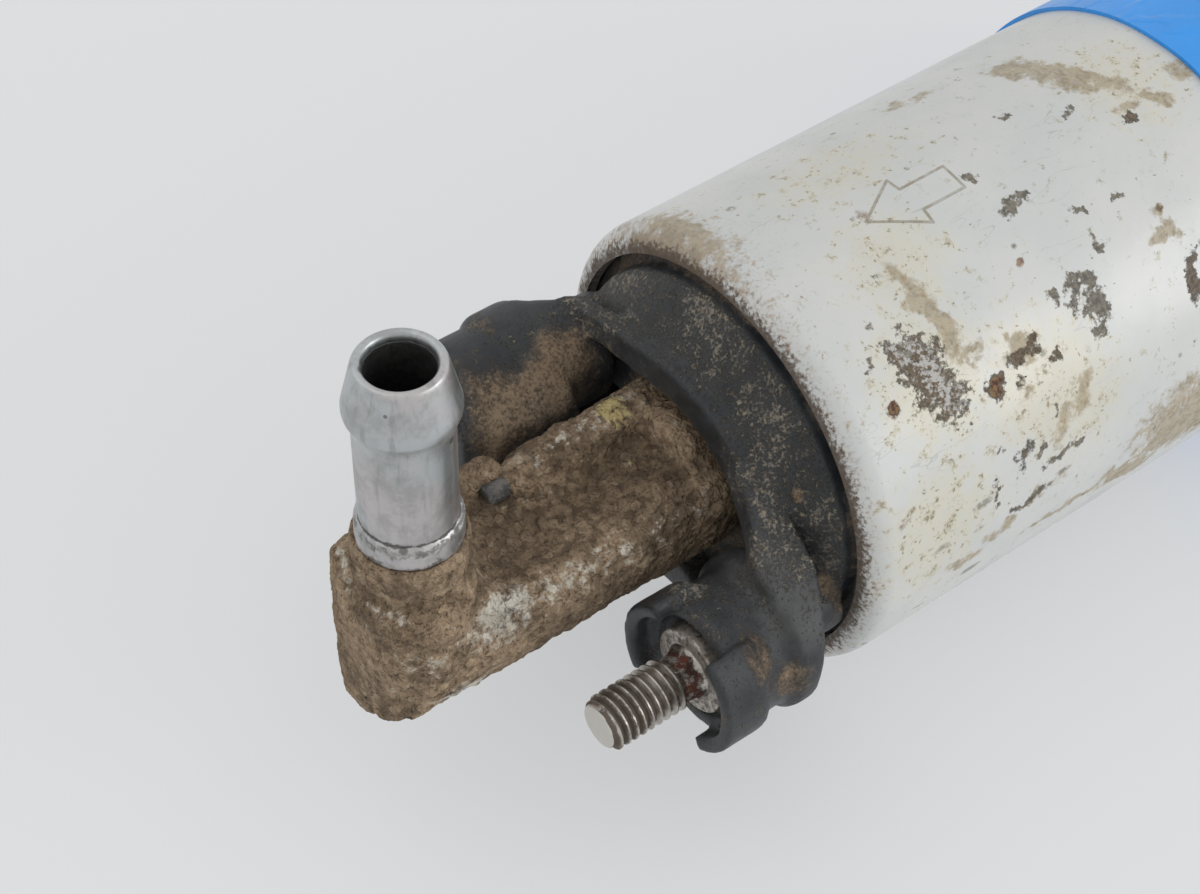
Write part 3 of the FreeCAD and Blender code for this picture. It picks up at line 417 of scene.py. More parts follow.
RUST_STAINS = (
    (28.1, 14.2, 0.7, 0.6, 0, 1.0), (6.6, 21.3, 0.9, 0.9, 0, 1.0), (18.9, 24.3, 0.9, 0.9, 0, 0.9),
    (16.5, 1.6, 0.9, 0.8, 0, 0.5), (46.7, 16.6, 0.6, 0.5, 80, 0.8), (4.3, 33.0, 0.6, 1.0, 0, 0.5),
)
CREAM_HAZE = (
    (12.4, 20.5, 9.0, 8.5, 60, 0.8), (26.0, 27.5, 13.0, 9.0, 40, 0.75), (16.0, 8.0, 8.0, 8.0, 40, 0.6),
    (9.0, 36.0, 9.0, 10.0, 0, 0.7), (54.0, 2.0, 8.0, 9.0, 0, 0.6), (20.0, -6.0, 12.0, 7.0, 0, 0.55),
)
# The barrel's ragged stains, from the lowest to the topmost: where they lie, the scale and
# grain of their noise, how far it reaches into them, and how soft their edges are
RAGGED_STAINS = {
    "tan": (TAN_STAINS, 520.0, 0.72, 2.3, 0.24),
    "brown": (BROWN_STAINS, 900.0, 0.72, 2.7, 0.16),
    "flecks": (PALE_FLECKS, 1900.0, 0.6, 3.6, 0.22),
    "dark": (DARK_STAINS, 1100.0, 0.7, 3.2, 0.18),
    "rust": (RUST_STAINS, 1300.0, 0.7, 2.0, 0.3),
}
# Corners of the engraved flow arrow: millimetres behind the rim, and round from the top
FLOW_ARROW = (
    (16.5, 2.5), (22.5, 6.2), (22.7, 4.4), (28.5, 4.4), (28.6, 0.9), (22.5, 0.9), (22.4, -0.9),
)
ARROW_LINE = 0.22


def unrolled(net, place):
    """Millimetres behind the rim, and millimetres round from the top towards -Y."""
    parts = net.add("SeparateXYZ", {0: place}).outputs
    along = net.times(net.minus(parts[0], RIM_X), 1 / MM)
    angle = net.math("ARCTAN2", net.times(parts[1], -1.0), parts[2])
    arc = net.times(angle, BARREL_R / MM)
    return net.add("CombineXYZ", {0: along, 1: arc}).outputs[0], along, arc


def wander(net, place, scale, reach):
    """A wandering offset in the unrolled plane that bends a stain's shape."""
    cloud = net.add("TexNoise", {"Vector": place, "Scale": scale, "Detail": 3.0, "Roughness": 0.6})
    centred = net.vector("SUBTRACT", cloud.outputs["Color"], (0.5, 0.5, 0.5))
    return net.vector("MULTIPLY", centred, (reach, reach, 0.0))


def mounds(net, flat, rows):
    """The highest of a list of soft mounds at each point."""
    return reduce(net.most, (
        net.effect(
            "stain", flat, centre=(x, arc, 0), size=(length, width, 1),
            turn=math.radians(-turn), height=height)
        for x, arc, length, width, turn, height in rows))


def barrel_paint(colours):
    """Aged pale paint with mud, rust, specks, an engraved flow arrow and a painted shadow line along the
    rim.
    """
    material, net, shader = new_finish("worn paint", 0.36)
    place = net.place()
    flat, along, arc = unrolled(net, place)
    bent = net.vector("ADD", flat, wander(net, place, 300, 4.5))
    clean = tuple(colours.paint)
    fine = net.cloud(place, 2100, 4.0, 0.65)
    middle = net.cloud(place, 620, 6.0, 0.7)
    broad = net.cloud(place, 85, 5.0, 0.6)

    colour = net.mottle(broad, 0.35, 0.65, clean, scaled(clean, 0.92, 0.94, 0.96))
    cream = net.remap(net.plus(mounds(net, bent, CREAM_HAZE), net.swing(middle, 1.4)), 0.15, 0.85)
    colour = net.tint(colour, cream, 0.72, (0.61, 0.57, 0.44))
    clots = net.remap(net.plus(middle, net.times(cream, 0.04)), 0.585, 0.70)
    colour = net.tint(colour, clots, 0.55, (0.36, 0.32, 0.21))
    level = net.plus(net.plus(net.swing(fine, 2.6), net.swing(middle, 1.8)), net.times(cream, 0.20))
    colour = net.tint(colour, net.remap(level, 0.44, 0.68), 0.80, (0.20, 0.165, 0.095))

    stains = {}
    for name, (rows, scale, grain, reach, softness) in RAGGED_STAINS.items():
        stains[name] = net.effect(
            "ragged", place, mound=mounds(net, bent, rows), scale=scale, grain=grain,
            reach=reach, softness=softness)
    tan_colour = net.mottle(middle, 0.36, 0.62, (0.26, 0.20, 0.115), (0.40, 0.335, 0.225))
    colour = net.tint(colour, stains["tan"], net.remap(fine, 0.30, 0.62, 0.95, 0.65), tan_colour)
    brown_colour = net.mottle(fine, 0.36, 0.62, (0.052, 0.036, 0.022), (0.170, 0.122, 0.076))
    colour = net.tint(colour, stains["brown"], 0.92, brown_colour)
    colour = net.tint(colour, net.times(stains["flecks"], stains["brown"]), 0.85, (0.56, 0.55, 0.53))
    dark_colour = net.mottle(fine, 0.38, 0.60, (0.045, 0.038, 0.026), (0.165, 0.14, 0.098))
    colour = net.tint(colour, stains["dark"], 0.88, dark_colour)
    rust_colour = net.mottle(fine, 0.40, 0.58, tuple(colours.rust), (0.25, 0.145, 0.065))
    colour = net.tint(colour, stains["rust"], 0.85, rust_colour)

    dots = net.effect("specks", place, scale=330.0, cover=0.24, softness=0.6)
    big_dots = net.effect("specks", place, scale=120.0, cover=0.10, softness=0.6)
    long = net.vector("MULTIPLY", place, (0.40, 1.0, 1.0))
    dashes = net.effect("specks", long, scale=420.0, cover=0.38, softness=0.5)
    dashes = net.times(dashes, net.remap(arc, 30.0, 38.0))
    dots = net.times(net.most(net.most(dots, big_dots), dashes), net.remap(fine, 0.36, 0.52))
    colour = net.tint(colour, dots, 0.80, (0.135, 0.12, 0.075))

    inward = net.times(net.math("POWER", net.most(along, 0.0), 0.5), 2.6)
    depth = net.math("DIVIDE", inward, net.remap(arc, 17.0, -4.0, 3.8, 7.0))
    grains = net.plus(net.swing(fine, 2.6), net.swing(middle, 1.6))
    drift = net.plus(net.remap(depth, 1.5, -0.5, 0.0, 0.95), grains)
    rim_dirt = net.times(net.remap(drift, 0.30, 1.00), net.remap(depth, 2.0, 1.4))
    rim_colour = net.mottle(middle, 0.40, 0.60, (0.20, 0.145, 0.100), (0.42, 0.335, 0.255))
    colour = net.tint(colour, rim_dirt, 0.78, rim_colour)
    # Painted shadow: a dark line right at the rim stands in for the shadow in the gap between the rim and
    # the cap.
    rim_shadow_line = net.remap(net.minus(net.times(grains, 1.6), inward), -1.9, -0.7)
    colour = net.tint(colour, rim_shadow_line, 0.85, (0.075, 0.050, 0.034))

    wear = net.effect("scratches", place, stretch=(0.25, 1.0, 1.0), scale=260.0, cover=0.006)
    wear = net.times(wear, net.remap(broad, 0.5, 0.6))
    colour = net.tint(colour, wear, 0.35, (0.30, 0.29, 0.25))

    corners = [(*corner, 0) for corner in FLOW_ARROW]
    arrow = reduce(net.most, (
        net.effect("stroke", flat, start=start, end=end, width=ARROW_LINE)
        for start, end in zip(corners, corners[1:] + corners[:1])))
    colour = net.tint(colour, arrow, net.remap(middle, 0.35, 0.60, 0.45, 0.85), (0.26, 0.225, 0.16))
    net.feed(shader["Base Color"], colour)

    dirt = net.most(net.most(stains["tan"], stains["brown"]), net.most(stains["dark"], rim_dirt))
    gloss = net.remap(broad, 0.3, 0.7, 0.26, 0.40)
    net.feed(shader["Roughness"], net.most(gloss, net.times(dirt, 0.85)))
    crust = net.bump(net.times(stains["brown"], fine), 0.00035, net.bump(middle, 0.00002))
    net.feed(shader["Normal"], net.bump(net.minus(1.0, arrow), 0.00005, crust))
    return material


def blue_sleeve(colours):
    """Glossy plastic film with faint wrinkles and dust."""
    material, net, shader = new_finish("shrink film", 0.28)
    place = net.place()
    base = tuple(colours.sleeve)
    cloud = net.cloud(place, 60, 4.0)
    colour = net.mottle(cloud, 0.35, 0.65, base, scaled(base, 0.9))
    dust = net.effect("specks", place, scale=500.0, cover=0.3, softness=0.5)
    net.feed(shader["Base Color"], net.tint(colour, dust, 0.25, (0.45, 0.45, 0.42)))
    long = net.vector("MULTIPLY", place, (0.35, 1.0, 1.0))
    creases = net.effect("scratches", long, stretch=(1, 1, 1), scale=70.0, cover=0.03)
    folds = net.bump(net.cloud(long, 90, 3.0, 0.5), 0.0003)
    net.feed(shader["Normal"], net.bump(creases, 0.00008, folds))
    net.feed(shader["Roughness"], net.remap(cloud, 0.3, 0.7, 0.22, 0.34))
    return material


def black_plastic(colours):
    """Glass-filled black moulding, specked, dusted and given a painted sheen by amounts painted on the
    mesh.
    """
    material, net, shader = new_finish("worn moulding", 0.45, specular=0.4)
    place = net.place()
    dust = net.attribute("dust")
    base = tuple(colours.plastic)
    broad = net.cloud(place, 210, 5.0, 0.65)
    middle = net.cloud(place, 1150, 6.0, 0.72)
    fine = net.cloud(place, 2800, 4.0, 0.7)
    colour = net.mottle(broad, 0.36, 0.66, base, scaled(base, 2.0))

    sway = net.swing(broad, 1.5)
    blots = net.swing(middle, 1.5)
    haze = net.remap(net.plus(dust, sway), 0.05, 1.05)
    colour = net.tint(colour, haze, 0.22, (0.115, 0.110, 0.100))
    # Painted sheen: the film attribute lightens the moulding where it would reflect the light, most on the
    # near ear.
    painted_sheen = net.times(net.attribute("film"), net.remap(broad, 0.30, 0.62, 0.35, 0.95))
    colour = net.tint(colour, painted_sheen, 0.75, (0.078, 0.078, 0.075))
    level = net.plus(net.plus(dust, sway), net.plus(net.swing(fine, 2.5), blots))
    specks = net.remap(level, 0.36, 0.92)
    speck_colour = net.mottle(middle, 0.44, 0.60, (0.185, 0.182, 0.170), tuple(colours.dust))
    colour = net.tint(colour, specks, 0.90, speck_colour)

    level = net.plus(net.plus(net.attribute("mud"), sway), net.times(blots, 0.6))
    film = net.remap(level, 0.22, 0.85)
    film_colour = net.mottle(
        net.plus(fine, net.times(sway, 0.5)), 0.36, 0.64,
        scaled(colours.mud, 0.30), scaled(colours.mud, 0.95))
    net.feed(shader["Base Color"], net.tint(colour, film, 0.92, film_colour))

    cover = net.most(specks, film)
    shine = net.remap(broad, 0.3, 0.7, 0.38, 0.54)
    net.feed(shader["Roughness"], net.most(shine, net.times(cover, 0.9)))
    grain = net.bump(fine, 0.00004)
    net.feed(shader["Normal"], net.bump(net.times(cover, middle), 0.00035, grain))
    return material


def die_cast(colours):
    """Crumbly dried mud, darker in its hollows partly as painted shade, over a casting that shows bare and
    pale along worn edges.
    """
    material, net, shader = new_finish("muddy casting", 0.9, specular=0.3)
    place = net.place()
    mud = tuple(colours.mud)
    broad = net.cloud(place, 170, 5.0, 0.65)
    middle = net.cloud(place, 700, 5.0, 0.65)
    fine = net.cloud(place, 1700, 4.0, 0.65)
    shift = net.add("TexNoise", {"Vector": place, "Scale": 900.0, "Detail": 2.0}).outputs["Color"]
    bent = net.vector("ADD", place, net.vector("MULTIPLY", shift, (0.0008, 0.0008, 0.0008)))
    crumb = net.cells(bent, 950.0)["Distance"]
    grit = net.cells(bent, 2300.0)["Distance"]
    deep = net.attribute("deep")
    tone = net.plus(net.swing(broad, 1.9), net.swing(middle, 1.0))
    colour = net.mottle(tone, -0.34, 0.30, scaled(mud, 0.58), scaled(mud, 1.30))
    level = net.plus(net.swing(fine, 2.0), net.swing(middle, 1.6))
    colour = net.tint(colour, net.remap(level, 0.10, 0.60), 0.55, (0.53, 0.445, 0.33))
    colour = net.tint(colour, net.remap(level, -0.10, -0.50), 0.72, (0.070, 0.046, 0.029))
    between = net.remap(net.plus(crumb, net.swing(fine, 0.6)), 0.46, 0.80)
    # The deep attribute darkens the mud and the gaps between its crumbs in the hollow of the flat, at the
    # rib's foot and beside the pin: partly the mud's own darker colour, partly painted shade.
    colour = net.tint(colour, between, net.remap(deep, -0.2, 0.8, 0.25, 0.70), (0.060, 0.040, 0.025))
    colour = net.tint(colour, deep, 0.55, (0.090, 0.060, 0.037))

    swing = net.plus(net.swing(middle, 2.0), net.swing(fine, 1.2))
    smear = net.plus(swing, net.swing(broad, 1.0))
    bare = net.remap(net.plus(net.attribute("worn"), smear), 0.30, 0.92)
    metal = net.mottle(middle, 0.42, 0.56, (0.115, 0.140, 0.160), (0.70, 0.67, 0.59))
    metal = net.mottle(broad, 0.51, 0.62, metal, (0.50, 0.47, 0.40))
    colour = net.tint(colour, bare, 0.85, metal)
    ochre = net.remap(net.plus(net.attribute("ochre"), swing), 0.40, 0.70)
    net.feed(shader["Base Color"], net.tint(colour, ochre, 0.80, (0.60, 0.49, 0.22)))
    net.feed(shader["Roughness"], net.minus(0.93, net.times(bare, 0.38)))
    lumpy = net.bump(net.minus(1.0, crumb), 0.0005, net.bump(middle, 0.0009))
    net.feed(shader["Normal"], net.bump(net.minus(1.0, grit), 0.00016, lumpy))
    return material


def plated_steel(colours):
    """Zinc plating with faint colour, soft streaks, small marks and a bore painted near black as shade."""
    material, net, shader = new_finish("worn plating", 0.36, 0.9)
    place = net.place()
    base = tuple(colours.zinc)
    hue = net.cloud(place, 110, 3.0, 0.5, 0.4)
    colour = net.mottle(hue, 0.40, 0.60, scaled(base, 0.96, 1.0, 1.03), scaled(base, 1.05, 0.99, 1.0))
    haze = net.effect("patches", place, scale=260.0, low=0.42, high=0.64, grain=0.7)
    colour = net.tint(colour, haze, 0.55, (0.30, 0.305, 0.295))
    lines = net.cloud(net.vector("MULTIPLY", place, (1.0, 1.0, 0.10)), 900, 4.0, 0.65)
    colour = net.tint(colour, net.remap(lines, 0.52, 0.68), 0.45, (0.26, 0.265, 0.26))
    marks = net.effect("specks", place, scale=360.0, cover=0.30, softness=0.4)
    colour = net.tint(colour, marks, 0.7, (0.10, 0.095, 0.08))
    ragged = net.cloud(place, 850, 6.0, 0.75)
    # Grime, which in the bore also stands in for its shade: the dirty mask carries both.
    dirty = net.remap(net.plus(ragged, net.attribute("grime")), 0.92, 1.12)
    grime_and_shade_colour = net.mottle(ragged, 0.42, 0.58, (0.030, 0.030, 0.032), (0.13, 0.12, 0.105))
    colour = net.tint(colour, dirty, 0.92, grime_and_shade_colour)
    pale = net.remap(net.plus(ragged, net.attribute("scuff")), 0.92, 1.10)
    pale_colour = net.mottle(
        net.cloud(place, 700, 4.0), 0.40, 0.60, (0.24, 0.245, 0.235), (0.62, 0.61, 0.58))
    colour = net.blend(pale, colour, pale_colour)
    # Painted shade: the bore is painted near black to stand in for the shadow inside the tube.
    net.feed(shader["Base Color"], net.blend(net.attribute("bore"), colour, (0.010, 0.010, 0.010)))
    covered = net.most(dirty, pale)
    net.feed(shader["Metallic"], net.minus(0.9, net.times(covered, 0.6)))
    streaks = net.cloud(net.vector("MULTIPLY", place, (1.0, 1.0, 0.12)), 700, 4.0, 0.6)
    soft = net.remap(streaks, 0.3, 0.7, 0.34, 0.48)
    net.feed(shader["Roughness"], net.most(soft, net.times(covered, 0.6)))
    fine = net.bump(net.cloud(place, 1500, 3.0), 0.00002)
    net.feed(shader["Normal"], net.bump(net.times(covered, ragged), 0.00035, fine))
    return material


def terminal_steel(colours):
    """Plated screw steel with rust and brown roots where they are painted on the mesh."""
    material, net, shader = new_finish("worn screw steel", 0.36, 1.0)
    place = net.place()
    clean = net.attribute("clean")
    tone = net.cloud(place, 500, 5.0, 0.65)
    ragged = net.cloud(place, 1150, 6.0, 0.75)
    colour = net.mottle(tone, 0.38, 0.62, (0.34, 0.31, 0.275), (0.58, 0.55, 0.505))
    colour = net.blend(clean, colour, (0.60, 0.575, 0.53))
    dirt = net.remap(net.plus(ragged, net.attribute("root")), 0.95, 1.20)
    colour = net.tint(colour, dirt, 0.88, (0.085, 0.060, 0.042))
    rusty = net.remap(net.plus(ragged, net.attribute("rust")), 0.94, 1.12)
    rust_colour = net.mottle(tone, 0.40, 0.60, scaled(colours.rust, 0.50), (0.135, 0.036, 0.020))
    net.feed(shader["Base Color"], net.blend(rusty, colour, rust_colour))
    covered = net.most(rusty, net.times(dirt, 0.8))
    dull = net.most(covered, net.times(clean, 0.8))
    net.feed(shader["Metallic"], net.minus(1.0, net.times(dull, 0.9)))
    net.feed(shader["Roughness"], net.remap(net.plus(covered, tone), 0.3, 1.3, 0.28, 0.78))
    nicks = net.bump(net.cloud(place, 1600, 5.0, 0.7), 0.00005)
    net.feed(shader["Normal"], net.bump(net.times(rusty, ragged), 0.0003, nicks))
    return material


def bare_metal(name, colour, roughness, stretch=(1, 1, 1), pits=0.0):
    """A plain metal with a fine grain, faint tone changes and a few pits."""
    def build(colours):
        material, net, shader = new_finish(name, roughness, 1.0)
        place = net.place()
        mixed = net.mottle(net.cloud(place, 160, 5.0, 0.6), 0.35, 0.68, colour, scaled(colour, 0.72))
        marks = net.effect("specks", place, scale=420.0, cover=0.25, softness=0.5)
        net.feed(shader["Base Color"], net.tint(mixed, marks, 0.4, scaled(colour, 0.3)))
        grain = net.cloud(net.vector("MULTIPLY", place, stretch), 1500, 4.0, 0.6)
        net.feed(shader["Roughness"], net.remap(grain, 0.3, 0.7, roughness * 0.8, roughness * 1.25))
        pitted = net.effect("patches", place, scale=1200.0, low=0.55, high=0.7, grain=0.6)
        net.feed(shader["Normal"], net.bump(pitted, 0.00001 + pits, net.bump(grain, 0.00002)))
        return material
    return build


def dull_solid(name, colour, roughness, grain_scale=900.0, grain_depth=0.00005):
    """Rubber, carbon, ferrite or plain plastic with a fine grain."""
    def build(colours):
        material, net, shader = new_finish(name, roughness)
        place = net.place()
        lighter = tuple(min(1.0, c * 1.5 + 0.01) for c in colour)
        tone = net.cloud(place, 220, 5.0, 0.6)
        net.feed(shader["Base Color"], net.mottle(tone, 0.38, 0.7, colour, lighter))
        grain = net.cloud(place, grain_scale, 5.0, 0.65)
        rough = net.remap(grain, 0.3, 0.7, roughness * 0.85, min(1.0, roughness * 1.15))
        net.feed(shader["Roughness"], rough)
        net.feed(shader["Normal"], net.bump(grain, grain_depth))
        return material
    return build


# Metals and dull solids inside the pump: colour and roughness, then what differs from the usual
BARE_METALS = {
    "spring_steel": ((0.42, 0.42, 0.44), 0.30),
    "ground_steel": ((0.60, 0.60, 0.62), 0.16, (1, 6, 6)),
    "sintered_steel": ((0.28, 0.28, 0.29), 0.42, (1, 1, 1), 0.00006),
    "core_steel": ((0.24, 0.24, 0.26), 0.45, (12, 1, 1)),
    "cover_alloy": ((0.58, 0.58, 0.59), 0.42, (1, 1, 1), 0.00008),
    "bush_bronze": ((0.45, 0.31, 0.14), 0.40, (1, 1, 1), 0.00004),
    "valve_brass": ((0.62, 0.48, 0.22), 0.28),
    "strip_brass": ((0.66, 0.52, 0.25), 0.32),
    "copper": ((0.62, 0.32, 0.18), 0.26, (8, 1, 1)),
    "winding_copper": ((0.50, 0.20, 0.09), 0.34, (1, 9, 9), 0.0001),
}
DULL_SOLIDS = {
    "seal_rubber": ((0.02, 0.02, 0.02), 0.62),
    "carbon": ((0.035, 0.035, 0.038), 0.50, 1600.0),
    "ferrite": ((0.055, 0.055, 0.06), 0.70, 1200.0, 0.00012),
    "valve_plastic": ((0.70, 0.68, 0.60), 0.42),
    "strainer_nylon": ((0.80, 0.79, 0.72), 0.48, 2400.0, 0.0001),
}
FINISHES = {
    "barrel_paint": barrel_paint,
    "blue_sleeve": blue_sleeve,
    "black_plastic": black_plastic,
    "die_cast": die_cast,
    "plated_steel": plated_steel,
    "terminal_steel": terminal_steel,
    **{name: bare_metal(name, *row) for name, row in BARE_METALS.items()},
    **{name: dull_solid(name, *row) for name, row in DULL_SOLIDS.items()},
}

finishes = {}


def finish_for(slot):
    """The material of a slot, built the first time that it is asked for."""
    if slot not in finishes:
        finishes[slot] = FINISHES[slot](bpy.context.scene.pump_colours)
    return finishes[slot]


def new_object(name, data):
    obj = bpy.data.objects.new(name, data)
    bpy.context.scene.collection.objects.link(obj)
    return obj


def aim(obj, place, back, roll=0.0):
    """Puts a lamp or a camera at a place, with its back towards a direction."""
    obj.location = place
    obj.rotation_mode = "QUATERNION"
    obj.rotation_quaternion = (-back).to_track_quat("-Z", "Y") @ Quaternion(Z_AXIS, roll)


def new_mesh(name, bm):
    """A mesh from a finished bmesh, which is then freed."""
    mesh = bpy.data.meshes.new(name)
    bm.to_mesh(mesh)
    bm.free()
    return mesh


def join(bm, other):
    """Adds another bmesh to a bmesh, and frees it."""
    mesh = new_mesh("joined", other)
    bm.from_mesh(mesh)
    bpy.data.meshes.remove(mesh)


def node_copy(node):
    """A bmesh of a node's solid, whose faces share their vertices."""
    bm = bmesh.new()
    bm.from_mesh(frame["nodes"][node].data)
    bmesh.ops.remove_doubles(bm, verts=bm.verts, dist=NODE_WELD)
    return bm


def new_piece(name, bm, slot, stands_for, body=HOUSING, sharp=SHARP_ANGLE):
    """Turns a finished bmesh into a piece that rides on a body, unless body is None."""
    mesh = new_mesh(name, bm)
    mesh.polygons.foreach_set("use_smooth", [True] * len(mesh.polygons))
    if sharp:
        mesh.set_sharp_from_angle(angle=sharp)
    mesh.materials.append(finish_for(slot))
    obj = new_object(name, mesh)
    if body:
        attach(obj, body)
    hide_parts(*stands_for)
    return obj


def paint(obj, **values):
    """Stores values from 0 to 1 at each vertex, by place and outward direction."""
    mesh = obj.data
    for name, value_at in values.items():
        amounts = [value_at(v.co, v.normal) for v in mesh.vertices]
        mesh.attributes.new(name, "FLOAT", "POINT").data.foreach_set("value", amounts)


def ease(value, low, high):
    """0 below low, 1 above high, and smooth between. The two may be either way round."""
    share = max(0.0, min(1.0, (value - low) / (high - low)))
    return share * share * (3 - 2 * share)


def near(point, centre, reach, start, full):
    """1 at a centre, fading to 0 away from it. All in rim millimetres, with a reach each way."""
    away = math.hypot(*((p - c) / r for p, c, r in zip(rim_mm(point), centre, reach)))
    return ease(away, start, full)


def spots(point, rows):
    """The highest of a table of spots at a point."""
    return max(amount * near(point, centre, reach, 1.25, 0.35) for centre, reach, amount in rows)


def turned(path, axis, centre, steps, soft=()):
    """A body turned about an axis from (along, radius) points, with some corners rounded.

    soft holds (point number, radius) pairs."""
    bm = bmesh.new()
    side = Z_AXIS if axis == X_AXIS else X_AXIS
    verts = [bm.verts.new(centre + axis * along + side * radius) for along, radius in path]
    pairs = list(zip(verts, verts[1:]))
    if path[0][1] != 0 or path[-1][1] != 0:
        pairs.append((verts[-1], verts[0]))
    edges = [bm.edges.new(pair) for pair in pairs]
    bmesh.ops.spin(
        bm, geom=verts + edges, cent=centre, axis=axis, angle=2 * math.pi, steps=steps,
        use_merge=True, use_duplicate=False)
    bmesh.ops.remove_doubles(bm, verts=bm.verts, dist=WELD)
    bmesh.ops.recalc_face_normals(bm, faces=bm.faces)
    for number, offset in soft:
        along, radius = path[number]

        def on_ring(vert):
            away = vert.co - centre
            here = away.dot(axis)
            off_ring = abs((away - axis * here).length - radius)
            return abs(here - along) < WELD and off_ring < 2 * WELD

        ring = [e for e in bm.edges if on_ring(e.verts[0]) and on_ring(e.verts[1])]
        bmesh.ops.bevel(
            bm, geom=ring, offset=offset, segments=4, profile=0.5, affect="EDGES", material=-1)
    return bm


def from_solid(node, grid, rounds, added=()):
    """A node's own solid, joined with other closed bodies, as an even and softened mesh."""
    bm = node_copy(node)
    for other in added:
        join(bm, other)
    obj = new_object("grid", new_mesh("grid", bm))
    remesh = obj.modifiers.new("grid", "REMESH")
    remesh.mode = "VOXEL"
    remesh.voxel_size = grid
    remesh.adaptivity = 0
    even = bpy.data.meshes.new_from_object(obj.evaluated_get(bpy.context.evaluated_depsgraph_get()))
    bpy.data.objects.remove(obj)
    bm = bmesh.new()
    bm.from_mesh(even)
    for _ in range(rounds):
        smooth(bm, bm.verts)
    return bm


def bed(low, high, step, top_at):
    """A closed slab over a rectangle whose top follows a height. All in rim millimetres."""
    bm = bmesh.new()
    counts = [max(2, round((high[i] - low[i]) / step)) for i in (0, 1)]
    bmesh.ops.create_grid(bm, x_segments=counts[0], y_segments=counts[1], size=0.5)
    for vert in bm.verts:
        x, y = (low[i] + (high[i] - low[i]) * (vert.co[i] + 0.5) for i in (0, 1))
        vert.co = rim_point(x, y, top_at(x, y))
    sides = bmesh.ops.extrude_face_region(bm, geom=bm.faces[:])["geom"]
    for vert in (v for v in sides if isinstance(v, bmesh.types.BMVert)):
        vert.co.z = low[2] * MM
    bmesh.ops.recalc_face_normals(bm, faces=bm.faces)
    return bm


def smooth(bm, verts):
    bmesh.ops.smooth_vert(
        bm, verts=verts, factor=0.5, use_axis_x=True, use_axis_y=True, use_axis_z=True)


def push_out(bm, height_at):
    """Moves each vertex along its normal by a height in metres."""
    bm.normal_update()
    heights = [height_at(v.co, v.normal) for v in bm.verts]
    for vert, height in zip(bm.verts, heights):
        vert.co += vert.normal * height


def lumps(point, size, octaves=3):
    """Noise from about -1 to 1 whose lumps are so many metres across."""
    return noise.fractal(point / size, 0.6, 2.1, octaves)


class PUMP_OT_stage(bpy.types.Operator):
    """Make the floor, the lights and the camera"""

    bl_idname = "pump.stage"
    bl_label = "Stage"

    def execute(self, context):
        stage = context.scene.pump_stage
        self.make_floor(stage)
        self.make_world(context.scene, stage)
        # The lamps' size in metres, the way to them from the pump, and how far off they are
        self.make_lamp("window", stage.window, 0.50, Vector((0.62, -0.80, 0.30)), 0.95)
        self.make_lamp("ceiling", stage.ceiling, 0.90, Vector((-0.35, 0.45, 1.0)), 1.10)
        self.make_camera(context.scene, stage)
        context.scene.view_settings.view_transform = "Standard"
        return {"FINISHED"}

    def make_floor(self, stage):
        half_width = 2.5
        gap = 0.0001
        bm = bmesh.new()
        bmesh.ops.create_grid(bm, x_segments=1, y_segments=1, size=half_width)
        bmesh.ops.translate(bm, verts=bm.verts, vec=Vector((0, 0, cad_low.z - gap)))
        mesh = new_mesh("floor", bm)
        material, net, shader = new_finish("floor", 0.75, specular=0.2)
        shader["Base Color"].default_value = (*stage.floor, 1)
        rays = net.add("LightPath").outputs
        seen = net.most(rays["Is Camera Ray"], rays["Is Glossy Ray"])
        seen = net.times(net.most(seen, rays["Is Transmission Ray"]), stage.lift)
        glow = net.add("Emission", {"Color": tuple(stage.floor), "Strength": 1.0}).outputs[0]
        nodes = material.node_tree.nodes
        lit = nodes["Principled BSDF"].outputs[0]
        mixed = net.add("MixShader", {0: seen, 1: lit, 2: glow}).outputs[0]
        net.feed(nodes["Material Output"].inputs["Surface"], mixed)
        mesh.materials.append(material)
        floor = new_object("floor", mesh)

    def make_world(self, scene, stage):
        world = bpy.data.worlds.new("studio")
        world.use_nodes = True
        sky = world.node_tree.nodes["Background"].inputs
        sky["Color"].default_value = (1.0, 1.0, 1.0, 1)
        sky["Strength"].default_value = stage.sky
        scene.world = world

    def make_lamp(self, name, power, size, way, distance):
        data = bpy.data.lights.new(name, "AREA")
        data.energy = power
        data.size = size
        way = way.normalized()
        aim(new_object(name, data), Vector((RIM_X, 0, 0)) + way * distance, way)

    def make_camera(self, scene, stage):
        """The camera stands where the photograph was taken from."""
        azimuth, elevation, roll = (math.radians(a) for a in CAMERA_ANGLES)
        back = Vector((
            math.sin(azimuth) * math.cos(elevation),
            -math.cos(azimuth) * math.cos(elevation),
            math.sin(elevation)))
        data = bpy.data.cameras.new("camera")
        data.lens = stage.lens
        data.sensor_width = 36.0
        data.clip_start = 0.01
        scene.camera = new_object("camera", data)
        aim(scene.camera, rim_point(*CAMERA_PLACE), back, roll)


